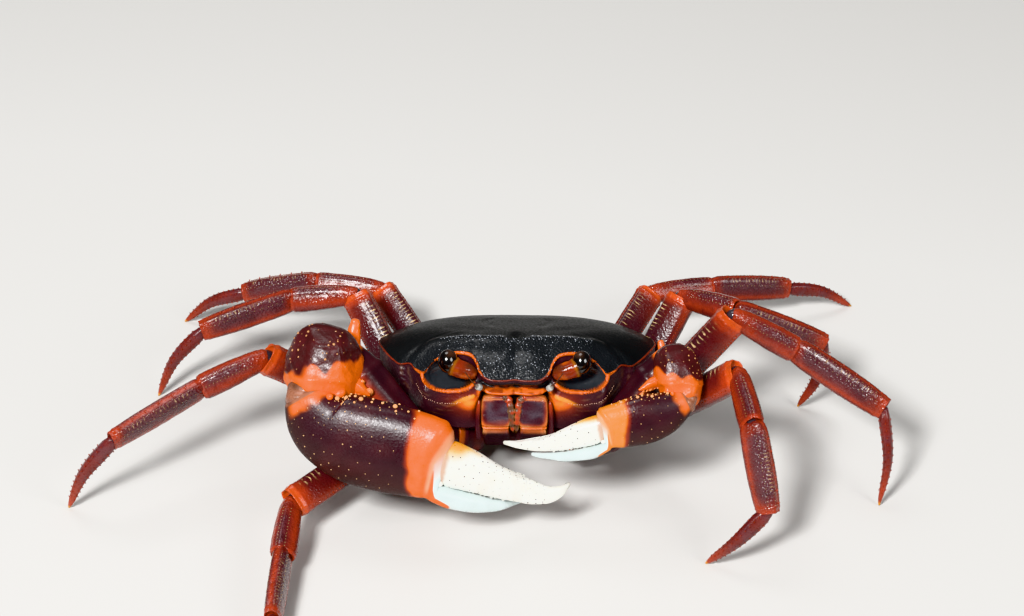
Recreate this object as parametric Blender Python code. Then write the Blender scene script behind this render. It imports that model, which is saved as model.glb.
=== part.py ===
# Freshwater crab, Neotiwaripotamon whiteheadi, as a still life-size model.
# It stands on its eight walking legs, claws folded in front of the mouth. It faces -Y.
# Sizes are in millimetres here and become metres where the meshes are made.
import math

import bmesh
import bpy
from mathutils import Matrix, Vector

MM = 0.001
GAP = 0.3                      # gap that touching pieces keep
UP = Vector((0.0, 0.0, 1.0))

# Stance: the body frame has x to the crab's left, f forward and z up from the widest level
BODY_HEIGHT = 14.5
BODY_PITCH = math.radians(24.0)
STAND_CENTRE = (-5.326, -15.319)      # middle of the ground plan, which the origin is moved to

# Walking legs: where the coxa ends in the body frame (x, f, z), and lengths of
# basi-ischium, merus, carpus, propodus and dactylus
COXA_END = {
    2: (13.0, 5.0, -11.3),
    3: (13.8, -0.5, -10.8),
    4: (12.8, -6.0, -9.8),
    5: (10.0, -10.5, -8.1),
}
LEG_LENGTH = {
    2: (4.8, 21.3, 9.9, 12.3, 12.7),
    3: (6.2, 21.3, 10.3, 15.0, 14.7),
    4: (5.6, 15.6, 10.0, 14.2, 13.0),
    5: (4.4, 14.6, 10.4, 12.9, 12.1),
}
# Height and thickness of merus, carpus, propodus and dactylus at their stoutest
LEG_GIRTH = {
    2: ((4.9, 2.9), (3.7, 2.8), (3.9, 2.2), (2.1, 1.6)),
    3: ((5.0, 3.0), (3.9, 2.9), (3.9, 2.2), (2.1, 1.6)),
    4: ((4.8, 2.8), (3.8, 2.8), (3.8, 2.1), (2.0, 1.5)),
    5: ((4.5, 2.6), (3.6, 2.6), (3.7, 2.0), (2.0, 1.5)),
}
# Heading from the front (degrees, outwards positive) and rise of ischium, merus, carpus and
# propodus; the dactylus has a heading only, as its tip stands on the floor
LEG_POSE = {
    "l2": ((60, 12), (69, 44), (10, -11), (23, -60), -90),
    "l3": ((82, 8), (89, 58), (76, -25), (61, -20), -3),
    "l4": ((100, 8), (140, 54), (54, 9), (89, -23), -107),
    "l5": ((132, 6), (151, 24), (109, -7), (109, -12), 105),
    "r2": ((60, 12), (41, -2), (3, -10), (1, -3), -8),
    "r3": ((78, 8), (74, 39), (71, -18), (53, -11), 93),
    "r4": ((100, 8), (146, 45), (93, -8), (73, -12), 71),
    "r5": ((132, 6), (141, 31), (98, 0), (108, -20), 96),
}

# Claws, in the stance's own frame with x outwards: the joints, then each piece's line and its
# rows of (share along the line, height above it, height below it, thickness, shift inwards)
CLAW_JOINTS = {
    "r": {"coxa": (9.5, -13.1, 7.2), "ischium": (14.6, -17.5, 10.4), "wrist": (24.3, -12.4, 21.3),
          "hand": (29.4, -19.9, 19.8), "hinge": (10.5, -26.5, 13.5), "tip": (-7.9, -27.1, 9.6)},
    "l": {"coxa": (9.5, -13.1, 7.2), "ischium": (13.4, -17.0, 10.4), "wrist": (21.8, -13.2, 21.6),
          "hand": (24.2, -20.3, 19.7), "hinge": (13.0, -23.4, 17.2), "tip": (-1.2, -24.1, 14.5)},
}
PALM_BEND = {"r": ((26.4, -22.3, 15.6), (20.0, -24.3, 14.1)),
             "l": ((20.5, -21.6, 18.0), (16.6, -22.6, 17.4))}
PALM = {
    "r": ((0.0, 2.2, 2.4, 4.4), (0.10, 3.3, 3.1, 5.4), (0.26, 5.6, 4.1, 6.4),
          (0.42, 6.4, 5.3, 7.4), (0.60, 6.7, 6.0, 7.6), (0.78, 6.7, 6.0, 7.2),
          (0.92, 6.2, 5.9, 6.2), (1.0, 5.4, 5.7, 5.2)),
    "l": ((0.0, 1.7, 1.7, 2.9), (0.12, 2.4, 2.3, 3.7), (0.30, 3.1, 3.0, 4.4),
          (0.55, 3.6, 3.4, 4.6), (0.82, 3.2, 3.2, 4.0), (1.0, 2.4, 3.0, 3.2)),
}
FIXED_FINGER = {
    "r": ((0.03, -3.2, 6.0, 4.4, 0.0), (0.14, -3.4, 6.5, 4.0, 0.3), (0.30, -3.8, 6.7, 3.4, 0.9),
          (0.46, -4.1, 6.3, 2.7, 1.9), (0.62, -3.4, 5.3, 2.0, 3.2), (0.76, -2.4, 3.9, 1.4, 3.8),
          (0.86, -1.8, 2.4, 0.7, 4.0)),
    "l": ((0.03, -2.0, 3.4, 2.8, 0.0), (0.20, -2.4, 4.2, 2.4, 0.2), (0.42, -2.6, 4.1, 1.9, 0.7),
          (0.60, -2.5, 3.5, 1.4, 1.3), (0.76, -2.3, 2.8, 0.7, 1.8)),
}
FREE_FINGER = {
    "r": ((0.045, 3.1, 2.7, 4.4, 0.0), (0.12, 2.9, 2.9, 4.4, 0.0), (0.26, 2.4, 3.3, 4.0, -0.1),
          (0.48, 0.9, 3.6, 3.2, -0.3), (0.70, -0.1, 3.6, 2.5, -0.3), (0.86, -0.6, 3.1, 1.7, 0.0),
          (0.95, -0.3, 2.0, 1.1, 0.5), (1.0, 0.2, 0.5, 0.6, 1.0)),
    "l": ((0.045, 1.8, 1.7, 2.8, 0.0), (0.16, 1.6, 2.0, 2.6, 0.0), (0.38, 0.9, 2.2, 2.1, -0.1),
          (0.64, 0.0, 1.9, 1.6, 0.0), (0.86, 0.0, 1.1, 1.0, 0.4), (1.0, 0.25, 0.3, 0.5, 0.9)),
}
CLAW_MERUS = ((0.0, 2.0, 2.0, 3.4), (0.15, 2.2, 2.3, 3.9), (0.35, 2.8, 3.0, 4.9),
              (0.60, 3.4, 3.6, 5.4), (0.82, 3.6, 3.7, 5.6), (1.0, 2.6, 2.8, 4.6))
CLAW_CARPUS = ((0.0, 2.4, 2.4, 4.5), (0.12, 4.2, 3.4, 7.6), (0.34, 5.7, 4.2, 9.8),
               (0.60, 6.2, 4.4, 10.6), (0.82, 5.4, 4.0, 9.8), (0.94, 3.9, 3.3, 7.8),
               (1.0, 2.6, 2.6, 5.6))
CLAW_SCALE = {"r": (0.99, 1.0), "l": (0.78, 0.61)}      # of the merus and the carpus
CARPUS_SPINE = {"r": ((23.6, -15.4, 19.6), (20.3, -16.9, 19.0), 1.3),
                "l": ((20.6, -16.9, 20.4), (17.8, -18.2, 19.9), 0.9)}
MERUS_TUBERCLES = {"r": 6, "l": 4}
CLAW_SIDES = 14
HAND_LEAN = (0.0, 0.36, 0.93)  # height direction of the hands: leaning back a little

COLOUR = {
    "shell_dark": ((0.020, 0.024, 0.026), 0.30),
    "underside": ((0.055, 0.020, 0.030), 0.45),
    "mouth": ((0.110, 0.030, 0.030), 0.40),
    "claw_shell": ((0.060, 0.012, 0.022), 0.28),
    "ivory": ((0.820, 0.780, 0.660), 0.30),
    "leg_dark": ((0.130, 0.016, 0.022), 0.32),
    "leg_red": ((0.360, 0.042, 0.020), 0.32),
    "orange": ((0.800, 0.170, 0.020), 0.35),
    "cornea": ((0.012, 0.010, 0.008), 0.08),
}


def clear_scene():
    for item in list(bpy.data.objects):
        bpy.data.objects.remove(item, do_unlink=True)


def material(name):
    found = bpy.data.materials.get(name)
    if found:
        return found
    colour, roughness = COLOUR[name]
    made = bpy.data.materials.new(name)
    made.use_nodes = True
    shader = made.node_tree.nodes["Principled BSDF"]
    shader.inputs["Base Color"].default_value = (*colour, 1.0)
    shader.inputs["Roughness"].default_value = roughness
    shader.inputs["Metallic"].default_value = 0.0
    return made


def collection(name):
    made = bpy.data.collections.new(name)
    bpy.context.scene.collection.children.link(made)
    return made


def add_object(name, mesh, matrix=Matrix.Identity(4), group=None, parent=None):
    piece = bpy.data.objects.new(name, mesh)
    (group or crab).objects.link(piece)
    piece.parent = parent or stance
    piece.matrix_local = matrix
    return piece


def mesh_from(name, work, slot):
    """Turn a bmesh in millimetres into a mesh in metres with one material."""
    bmesh.ops.recalc_face_normals(work, faces=work.faces)
    bmesh.ops.scale(work, vec=(MM, MM, MM), verts=work.verts)
    mesh = bpy.data.meshes.new(name)
    work.to_mesh(mesh)
    work.free()
    mesh.materials.append(material(slot))
    mesh.shade_smooth()
    mesh.set_sharp_from_angle(angle=math.radians(50.0))
    return mesh


def metres(point):
    return Vector(point) * MM


def body_point(x, f, z):
    """A point of the body frame in the stance's frame, both in millimetres."""
    sine, cosine = math.sin(BODY_PITCH), math.cos(BODY_PITCH)
    return Vector((x, z * sine - f * cosine, BODY_HEIGHT + f * sine + z * cosine))


def heading(outwards, rise, side):
    """Unit vector of a limb segment from its heading and rise in degrees."""
    turn, lift = math.radians(outwards), math.radians(rise)
    flat = math.cos(lift)
    return Vector((side * math.sin(turn) * flat, -math.cos(turn) * flat, math.sin(lift)))


def smooth_points(points, count):
    """Even samples of a Catmull-Rom curve through a few points of any dimension."""
    return smooth_at(points, [k / (count - 1) for k in range(count)])


def smooth_at(points, shares):
    """Samples of that curve at shares of its number of spans."""
    ends = [points[0]] + list(points) + [points[-1]]
    spans = len(points) - 1
    out = []
    for share in shares:
        place = spans * share
        i = min(int(place), spans - 1)
        t = place - i
        a, b, c, d = ends[i], ends[i + 1], ends[i + 2], ends[i + 3]
        out.append(tuple(
            0.5 * (2 * q + (r - p) * t + (2 * p - 5 * q + 4 * r - s) * t ** 2
                   + (3 * q - p - 3 * r + s) * t ** 3)
            for p, q, r, s in zip(a, b, c, d)))
    return out


def loft(rings, start_cap=True, end_cap=True):
    """A closed bmesh skin over rings of equal count, with a fan at each end."""
    work = bmesh.new()
    rows = [[work.verts.new(point) for point in ring] for ring in rings]
    count = len(rows[0])
    for low, high in zip(rows, rows[1:]):
        for i in range(count):
            j = (i + 1) % count
            work.faces.new((low[i], low[j], high[j], high[i]))
    for row, wanted in ((rows[0], start_cap), (rows[-1], end_cap)):
        if wanted:
            middle = work.verts.new(sum((v.co for v in row), Vector()) / count)
            for i in range(count):
                work.faces.new((row[i], row[(i + 1) % count], middle))
    return work


def sweep_rings(centres, up, girths, sides, start_cut, end_cut):
    """Rings across a centre line. A girth is (height above, height below, thickness, squareness).

    start_cut and end_cut are (point, normal) planes that the end rings lie on, or None. A
    negative height above puts the whole section below the line.
    """
    count = len(centres)
    rings = []
    total = sum((b - a).length for a, b in zip(centres, centres[1:]))
    run = 0.0
    for k in range(count):
        ahead = centres[min(k + 1, count - 1)]
        behind = centres[max(k - 1, 0)]
        along = (ahead - behind).normalized()
        side = along.cross(up).normalized()
        rise = side.cross(along).normalized()
        above, below, thick, square = girths[k]
        waist = (above - below) / 2 if above < 0 else 0.0
        if k:
            run += (centres[k] - centres[k - 1]).length
        ring = []
        for i in range(sides):
            angle = 2 * math.pi * (i + 0.5) / sides
            p, q = math.cos(angle), math.sin(angle)
            p = math.copysign(abs(p) ** square, p) * thick / 2
            q = math.copysign(abs(q) ** square, q) * (above - waist if q > 0 else below + waist)
            q += waist
            point = centres[k] + side * p + rise * q
            for cut, far in ((start_cut, run), (end_cut, total - run)):
                if cut:
                    plane_point, normal = cut
                    shift = (plane_point - (centres[0 if cut is start_cut else -1]
                                            + side * p + rise * q)).dot(normal)
                    shift /= along.dot(normal)
                    fade = max(0.0, 1.0 - far / (0.45 * total))
                    point = point + along * (shift * fade)
            ring.append(point)
        rings.append(ring)
    return rings


def joint_cuts(before, joint, after):
    """Planes that part two pieces at a joint, GAP apart, square to the bend's middle."""
    normal = (before + after).normalized()
    return ((joint - normal * GAP / 2, normal), (joint + normal * GAP / 2, normal))


def frame_of(origin, along, up):
    """Matrix in metres with its X along a piece and its Z in the piece's height."""
    x_axis = along.normalized()
    y_axis = up.cross(x_axis).normalized()
    z_axis = x_axis.cross(y_axis)
    turn = Matrix((x_axis, y_axis, z_axis)).transposed().to_4x4()
    return Matrix.Translation(metres(origin)) @ turn


def place_rings(name, rings, origin, along, up, slot, extra=()):
    """Skin the rings in a local frame, fuse small pieces to them and place the object."""
    matrix = frame_of(origin, along, up)
    back = frame_of(origin, along, up)
    back.translation = origin
    back = back.inverted()
    local = [[back @ point for point in ring] for ring in rings]
    piece = add_object(name, mesh_from(name, loft(local), slot), matrix)
    if extra:
        fuse(piece, [back @ small for small in extra], slot)
    return piece


def cone_piece(base, tip, radius, sides=5):
    """Matrix of a unit cone that stands on base and ends at tip."""
    axis = tip - base
    turn = axis.to_track_quat("Z", "Y").to_matrix().to_4x4()
    size = Matrix.Diagonal((radius, radius, axis.length, 1.0))
    return Matrix.Translation(base) @ turn @ size


def fuse(piece, cones, slot, sides=5):
    """Join cones to a piece with one Boolean union and keep the largest closed surface."""
    group = collection(piece.name + "_spines")
    for index, matrix in enumerate(cones):
        work = bmesh.new()
        bmesh.ops.create_cone(work, cap_ends=True, segments=sides, radius1=1.0, radius2=0.12,
                              depth=1.0, matrix=matrix @ Matrix.Translation((0, 0, 0.5)))
        small = add_object("%s_spine_%d" % (piece.name, index), mesh_from("spine", work, slot),
                           piece.matrix_local, group)
    join_group(piece, group)


def keep_largest(piece):
    work = bmesh.new()
    work.from_mesh(piece.data)
    left = set(work.verts)
    islands = []
    while left:
        seed = left.pop()
        island, edge = {seed}, [seed]
        while edge:
            for link in edge.pop().link_edges:
                for vert in link.verts:
                    if vert in left:
                        left.discard(vert)
                        island.add(vert)
                        edge.append(vert)
        islands.append(island)
    islands.sort(key=len, reverse=True)
    for island in islands[1:]:
        bmesh.ops.delete(work, geom=list(island), context="VERTS")
    work.to_mesh(piece.data)
    work.free()


# Carapace: each column runs from the margin (x, f, z) to the lower edge (x, f, z)
FRONT_COLUMNS = (
    ((0.0, 15.4, -2.2), (0.0, 12.0, -9.2)),
    ((1.6, 15.8, -2.1), (1.6, 12.0, -9.2)),
    ((3.4, 16.0, -2.0), (3.4, 12.0, -9.2)),
    ((5.0, 15.7, -2.0), (4.95, 12.0, -9.4)),
)
ORBIT_COLUMNS = (
    ((5.2, 14.4, -0.7), (5.8, 12.1, -9.8)),
    ((5.9, 13.1, 0.3), (6.8, 11.8, -9.9)),
    ((7.6, 12.2, 0.7), (7.9, 11.4, -10.0)),
    ((9.5, 11.9, 0.5), (9.0, 10.9, -10.0)),
    ((11.3, 12.1, -0.5), (10.0, 10.3, -9.8)),
    ((12.8, 12.7, -1.8), (10.9, 9.6, -9.6)),
)
SIDE_COLUMNS = (
    ((14.3, 11.5, -1.5), (11.8, 8.7, -9.4)),
    ((16.4, 10.0, -1.2), (12.7, 7.0, -9.1)),
    ((18.6, 7.0, -0.4), (13.4, 4.4, -8.8)),
    ((20.0, 3.0, 0.5), (13.7, 1.6, -8.4)),
    ((19.5, -1.2, 0.6), (13.5, -1.6, -7.9)),
    ((17.1, -8.0, 0.35), (11.8, -7.2, -6.4)),
    ((13.0, -13.4, -0.4), (9.4, -11.8, -5.0)),
    ((7.0, -15.9, -0.9), (5.6, -14.4, -3.8)),
    ((0.0, -16.3, -1.0), (0.0, -15.0, -3.5)),
)
SIDE_COUNT = 17
DOME_CENTRE = (0.0, -1.0)
DOME_TOP = 3.1
DOME_RINGS = (0.22, 0.42, 0.58, 0.70, 0.80, 0.88, 0.94, 0.98, 1.0)
CRISTA = {"f": 10.4, "inner": 1.2, "outer": 14.0, "taper": 2.5, "height": 0.4, "half_width": 1.6}
# Shares of the way down and inwards at each level of the wall, front plate, orbit and side
WALL_DOWN = (0.10, 0.30, 0.52, 0.72, 0.88, 1.0)
WALL_IN = (0.0, 0.02, 0.07, 0.17, 0.45, 1.0)
ORBIT_IN = (0.0, 0.04, 0.15, 0.40, 0.75, 1.0)
FRONT_DOWN = (0.08, 0.20, 0.33, 0.365, 0.70, 1.0)
FRONT_IN = (0.10, 0.40, 0.42, 0.98, 1.0, 1.0)
ORBIT_HOLE = {"centre": (9.0, 13.6, -1.8), "radii": (3.9, 3.0, 2.45)}


def carapace_columns():
    """Margin point, lower point and wall kind of each column of the left half."""
    columns = [(a, b, "front") for a, b in FRONT_COLUMNS]
    columns += [(a, b, "orbit") for a, b in ORBIT_COLUMNS]
    joined = [tuple(a) + tuple(b) for a, b in SIDE_COLUMNS]
    for row in smooth_points(joined, SIDE_COUNT):
        columns.append((row[:3], row[3:], "side"))
    return columns


def dome_height(x, f, share, margin_z):
    """Height of the back at a share of the way from the dome's centre to the margin."""
    power = 4.5 + 1.5 * max(0.0, f / 16.0)
    top = DOME_TOP - 0.9 * max(0.0, -(f + 4.0) / 12.0)
    height = margin_z + (top - margin_z) * (1.0 - share ** power)
    fade = max(0.0, 1.0 - ((f - CRISTA["f"]) / CRISTA["half_width"]) ** 2)
    reach = min(abs(x) - CRISTA["inner"], CRISTA["outer"] - abs(x)) / CRISTA["taper"]
    return height + CRISTA["height"] * fade * min(1.0, max(0.0, reach))


def carapace_ring(columns, maker):
    half = [maker(column) for column in columns]
    other = [Vector((-p.x, p.y, p.z)) for p in half[-2:0:-1]]
    return half + other


def make_carapace():
    columns = carapace_columns()
    rings = []
    for share in DOME_RINGS:
        def on_back(column, share=share):
            (x, f, z), lower, kind = column
            px = DOME_CENTRE[0] + (x - DOME_CENTRE[0]) * share
            pf = DOME_CENTRE[1] + (f - DOME_CENTRE[1]) * share
            return Vector((px, -pf, dome_height(px, pf, share, z)))
        rings.append(carapace_ring(columns, on_back))
    for level in range(len(WALL_DOWN)):
        def on_wall(column, level=level):
            (x, f, z), (lx, lf, lz), kind = column
            down = FRONT_DOWN[level] if kind == "front" else WALL_DOWN[level]
            inward = {"front": FRONT_IN, "orbit": ORBIT_IN, "side": WALL_IN}[kind][level]
            return Vector((x + (lx - x) * inward, -(f + (lf - f) * inward), z + (lz - z) * down))
        rings.append(carapace_ring(columns, on_wall))
    for share, lift in ((0.75, 0.0), (0.35, 0.0)):
        def on_floor(column, share=share, lift=lift):
            (lx, lf, lz) = column[1]
            centre_z = -6.6
            return Vector((lx * share, -(-1.0 + (lf + 1.0) * share),
                           lz * share + centre_z * (1.0 - share)))
        rings.append(carapace_ring(columns, on_floor))
    shell = add_object("carapace", mesh_from("carapace", loft(rings), "shell_dark"), parent=body)
    for side, word in ((1, "l"), (-1, "r")):
        x, f, z = ORBIT_HOLE["centre"]
        bpy.ops.mesh.primitive_uv_sphere_add(segments=20, ring_count=12, radius=1.0)
        hole = bpy.context.object
        hole.name = "orbit_hole_" + word
        for old in list(hole.users_collection):
            old.objects.unlink(hole)
        cutters.objects.link(hole)
        hole.parent = body
        hole.location = metres((side * x, -f, z))
        hole.scale = metres(ORBIT_HOLE["radii"])
        hole.hide_render = True
        hole.display_type = "WIRE"
        cut = shell.modifiers.new("orbit_" + word, "BOOLEAN")
        cut.operation = "DIFFERENCE"
        cut.object = hole
        cut.solver = "EXACT"
    return shell


# Underside: stations of the sternum along f with half width, top and bottom in the body frame
STERNUM = (
    (8.6, 4.6, -10.4, -12.0),
    (6.5, 8.6, -10.3, -12.5),
    (3.0, 10.2, -10.1, -12.6),
    (-1.5, 10.6, -9.6, -12.2),
    (-6.0, 9.6, -8.4, -10.9),
    (-10.0, 7.4, -7.0, -9.4),
    (-13.2, 5.0, -5.4, -7.3),
)
STERNUM_SIDES = 16
COXA_GIRTH = {1: (2.5, 4.6), 2: (2.1, 4.3), 3: (2.1, 4.3), 4: (2.0, 4.1), 5: (1.65, 3.5)}
COXA_ROOT = 5.5                # how far each coxa runs back into the sternum

# Abdomen of a male, folded under the sternum: f, half width, z of its middle, in the body frame
ABDOMEN = (
    (4.5, 0.9, -13.35),
    (2.5, 1.5, -13.4),
    (-1.0, 2.0, -13.1),
    (-4.5, 2.8, -12.1),
    (-8.0, 3.8, -10.9),
    (-11.5, 5.0, -9.4),
    (-14.2, 5.6, -7.4),
    (-15.6, 5.6, -5.2),
)
ABDOMEN_THICK = 0.9


def make_thorax():
    rings = []
    for f, half, top, bottom in STERNUM:
        ring = []
        for i in range(STERNUM_SIDES):
            angle = 2 * math.pi * (i + 0.5) / STERNUM_SIDES
            p, q = math.cos(angle), math.sin(angle)
            p = math.copysign(abs(p) ** 0.55, p) * half
            q = math.copysign(abs(q) ** 0.45, q) * (top - bottom) / 2 + (top + bottom) / 2
            ring.append(Vector((p, -f, q)))
        rings.append(ring)
    thorax = add_object("thorax", mesh_from("thorax", loft(rings), "underside"), parent=body)
    stubs = []
    into_body = body.matrix_local.inverted()
    into_body.translation = into_body.translation / MM
    for side in (1, -1):
        word = "l" if side > 0 else "r"
        for number in (2, 3, 4, 5):
            x, f, z = COXA_END[number]
            along = heading(*LEG_POSE[word + str(number)][0], side)
            stubs.append((body_point(side * x, f, z) - along * GAP / 2, along, number))
        coxa = claw_point(word, CLAW_JOINTS[word]["coxa"])
        along = (claw_point(word, CLAW_JOINTS[word]["ischium"]) - coxa).normalized()
        stubs.append((coxa - along * GAP / 2, along, 1))
    group = collection("coxae")
    for end, along, number in stubs:
        half, thick = COXA_GIRTH[number]
        centres = [end - along * (COXA_ROOT * (1.0 - t)) for t in (0.0, 0.5, 0.85, 1.0)]
        girths = [(half * k, half * k, thick * k, 0.8) for k in (0.8, 1.0, 1.05, 0.92)]
        rings = sweep_rings(centres, UP, girths, 10, None, None)
        rings = [[into_body @ point for point in ring] for ring in rings]
        add_object("coxa", mesh_from("coxa", loft(rings), "underside"), group=group, parent=body)
    join_group(thorax, group)
    return thorax


def join_group(piece, group):
    """Union a collection of closed meshes into a piece, then remove the collection."""
    union = piece.modifiers.new("join", "BOOLEAN")
    union.operation = "UNION"
    union.operand_type = "COLLECTION"
    union.collection = group
    union.solver = "EXACT"
    bpy.context.view_layer.update()
    joined = bpy.data.meshes.new_from_object(
        piece.evaluated_get(bpy.context.evaluated_depsgraph_get()))
    piece.modifiers.remove(union)
    piece.data = joined
    for small in list(group.objects):
        bpy.data.objects.remove(small, do_unlink=True)
    bpy.data.collections.remove(group)
    keep_largest(piece)


def make_abdomen():
    rings = []
    samples = smooth_points(ABDOMEN, 15)
    for k, (f, half, z) in enumerate(samples):
        after = samples[min(k + 1, len(samples) - 1)]
        before = samples[max(k - 1, 0)]
        slope = Vector((0.0, before[0] - after[0], after[2] - before[2])).normalized()
        out = Vector((0.0, slope.z, -slope.y))
        step = 0.12 if k % 2 else 0.0
        ring = []
        for i in range(10):
            angle = 2 * math.pi * (i + 0.5) / 10
            p, q = math.cos(angle), math.sin(angle)
            p = math.copysign(abs(p) ** 0.6, p) * (half - step)
            q = math.copysign(abs(q) ** 0.7, q) * (ABDOMEN_THICK / 2 - step / 2)
            ring.append(Vector((p, -f, z)) + out * q)
        rings.append(ring)
    return add_object("abdomen", mesh_from("abdomen", loft(rings), "underside"), parent=body)


# Third maxilliped: square merus above, longer ischium below, running back under the mouth
MAXILLIPED = (
    (13.7, -5.2, 1.9), (13.65, -6.6, 2.1), (13.5, -8.7, 2.1), (12.9, -9.7, 1.9),
    (11.4, -11.0, 1.95), (9.6, -12.3, 1.9),
)
MAXILLIPED_MIDDLE = 2.45
MAXILLIPED_THICK = 1.3


def make_maxilliped(side, word):
    rings = []
    for k, (f, z, half) in enumerate(MAXILLIPED):
        after = MAXILLIPED[min(k + 1, len(MAXILLIPED) - 1)]
        before = MAXILLIPED[max(k - 1, 0)]
        slope = Vector((0.0, before[0] - after[0], after[1] - before[1])).normalized()
        out = Vector((0.0, slope.z, -slope.y))
        ring = []
        for i in range(12):
            angle = 2 * math.pi * (i + 0.5) / 12
            p, q = math.cos(angle), math.sin(angle)
            p = math.copysign(abs(p) ** 0.5, p) * half + side * MAXILLIPED_MIDDLE
            q = math.copysign(abs(q) ** 0.5, q) * MAXILLIPED_THICK / 2
            ring.append(Vector((p, -f, z)) + out * q)
        rings.append(ring)
    return add_object("maxilliped_" + word, mesh_from("maxilliped", loft(rings), "mouth"),
                      parent=body)


# Eyes: the stalk leaves the orbit's inner wall, the cornea caps it
EYE_CENTRE = (9.4, 13.3, -0.1)
EYE_RADII = (1.25, 1.35, 1.75)
STALK_POINTS = ((6.3, 13.6, -1.5), (7.1, 13.5, -1.1), (7.9, 13.4, -0.7))
STALK_RADII = (1.1, 1.3, 1.05)


def make_eye(side, word):
    x, f, z = EYE_CENTRE
    work = bmesh.new()
    bmesh.ops.create_uvsphere(work, u_segments=14, v_segments=9, radius=1.0)
    bmesh.ops.scale(work, vec=EYE_RADII, verts=work.verts)
    eye = add_object("eye_" + word, mesh_from("eye", work, "cornea"), parent=body)
    eye.location = metres((side * x, -f, z))
    centres = [Vector((side * a, -b, c)) for a, b, c in STALK_POINTS]
    girths = [(r, r, 2 * r * 0.9, 1.0) for r in STALK_RADII]
    rings = sweep_rings(centres, UP, girths, 12, None, None)
    add_object("eyestalk_" + word, mesh_from("eyestalk", loft(rings), "orange"), parent=body)


# Antenna: a short peduncle and flagellum at the orbit's inner corner
ANTENNA_PATH = ((4.9, 15.1, -3.3), (5.3, 15.8, -2.9), (6.0, 16.6, -2.0), (6.9, 17.2, -0.6))
ANTENNA_RADII = (0.5, 0.42, 0.3, 0.22)


def make_antenna(side, word):
    centres = [Vector((side * a, -b, c)) for a, b, c in smooth_points(ANTENNA_PATH, 7)]
    radii = smooth_points([(r,) for r in ANTENNA_RADII], 7)
    girths = [(r, r, 2 * r, 1.0) for (r,) in radii]
    rings = sweep_rings(centres, UP, girths, 7, None, None)
    add_object("antenna_" + word, mesh_from("antenna", loft(rings), "orange"), parent=body)


# Walking legs
MERUS_SHAPE = ((0.0, 0.66), (0.12, 0.76), (0.24, 0.84), (0.42, 0.97), (0.62, 1.0), (0.82, 0.95),
               (0.94, 0.95), (1.0, 0.88))
CARPUS_SHAPE = ((0.0, 0.66), (0.12, 0.80), (0.35, 0.92), (0.65, 1.0), (0.88, 1.0), (1.0, 0.88))
PROPODUS_SHAPE = ((0.0, 0.74), (0.12, 0.90), (0.35, 1.0), (0.65, 0.97), (0.90, 0.86), (1.0, 0.76))
DACTYLUS_SHAPE = ((0.0, 1.0), (0.12, 1.05), (0.35, 0.86), (0.60, 0.66), (0.82, 0.46), (1.0, 0.20))
LEG_SIDES = 10
UPRIGHT = 0.4                  # how much a leg piece stands upright, against leaning with its bend
DACTYLUS_SPINES = 4            # in each of two rows


def bent_line(start, corner, end, shares):
    """Points at shares of the way along start, corner, end with the corner eased off."""
    first = (corner - start).length
    whole = first + (end - corner).length
    turn = first / whole
    out = []
    for t in shares:
        if t < turn:
            point = start.lerp(corner, t / turn)
        else:
            point = corner.lerp(end, (t - turn) / (1.0 - turn))
        ease = max(0.0, 1.0 - abs(t - turn) / 0.22) ** 2
        out.append(point.lerp(start.lerp(end, t), 0.30 * ease))
    return out


def leg_joints(word, number):
    side = 1 if word == "l" else -1
    ischium, merus, carpus, propodus, toe = LEG_POSE[word + str(number)]
    lengths = LEG_LENGTH[number]
    points = [body_point(side * COXA_END[number][0], *COXA_END[number][1:])]
    for (outwards, rise), length in zip((ischium, merus, carpus, propodus), lengths):
        points.append(points[-1] + heading(outwards, rise, side) * length)
    drop = math.degrees(math.asin(points[-1].z / lengths[4]))
    points.append(points[-1] + heading(toe, -drop, side) * lengths[4])
    return points


def side_up(along, up=UP):
    """The direction square to a line that is nearest to up."""
    return (up - along * along.dot(up)).normalized()


def bend_up(along, before, after):
    """The height direction of a leg piece: towards the outside of the bend that it is part of."""
    return side_up(along, UP * UPRIGHT + before - after)


def leg_piece(name, line, up, shape, girth, cuts, slot, spines=()):
    height, thick = girth
    girths = [(height / 2 * k, height / 2 * k, thick * (0.25 + 0.75 * k), 0.8) for t, k in shape]
    rings = sweep_rings(line, up, girths, LEG_SIDES, *cuts)
    return place_rings(name, rings, line[0], line[-1] - line[0], up, slot, spines)


def shares_of(shape):
    return [t for t, k in shape]


def straight_line(start, end, shape):
    return [start.lerp(end, t) for t in shares_of(shape)]


def dactylus_spines(start, end, girth):
    """Short spines in two rows along the lower and upper edges of a dactylus."""
    along = (end - start).normalized()
    up = side_up(along)
    out = []
    for row in (1, -1):
        for index in range(DACTYLUS_SPINES):
            t = 0.16 + 0.62 * (index + (0.5 if row > 0 else 0.0)) / DACTYLUS_SPINES
            half = girth[0] / 2 * (1.05 - 0.75 * t)
            root = start.lerp(end, t) + up * row * (half - 0.35)
            tip = root + up * row * 0.95 + along * 0.55
            out.append(cone_piece(root, tip, 0.26))
    return out


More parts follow.
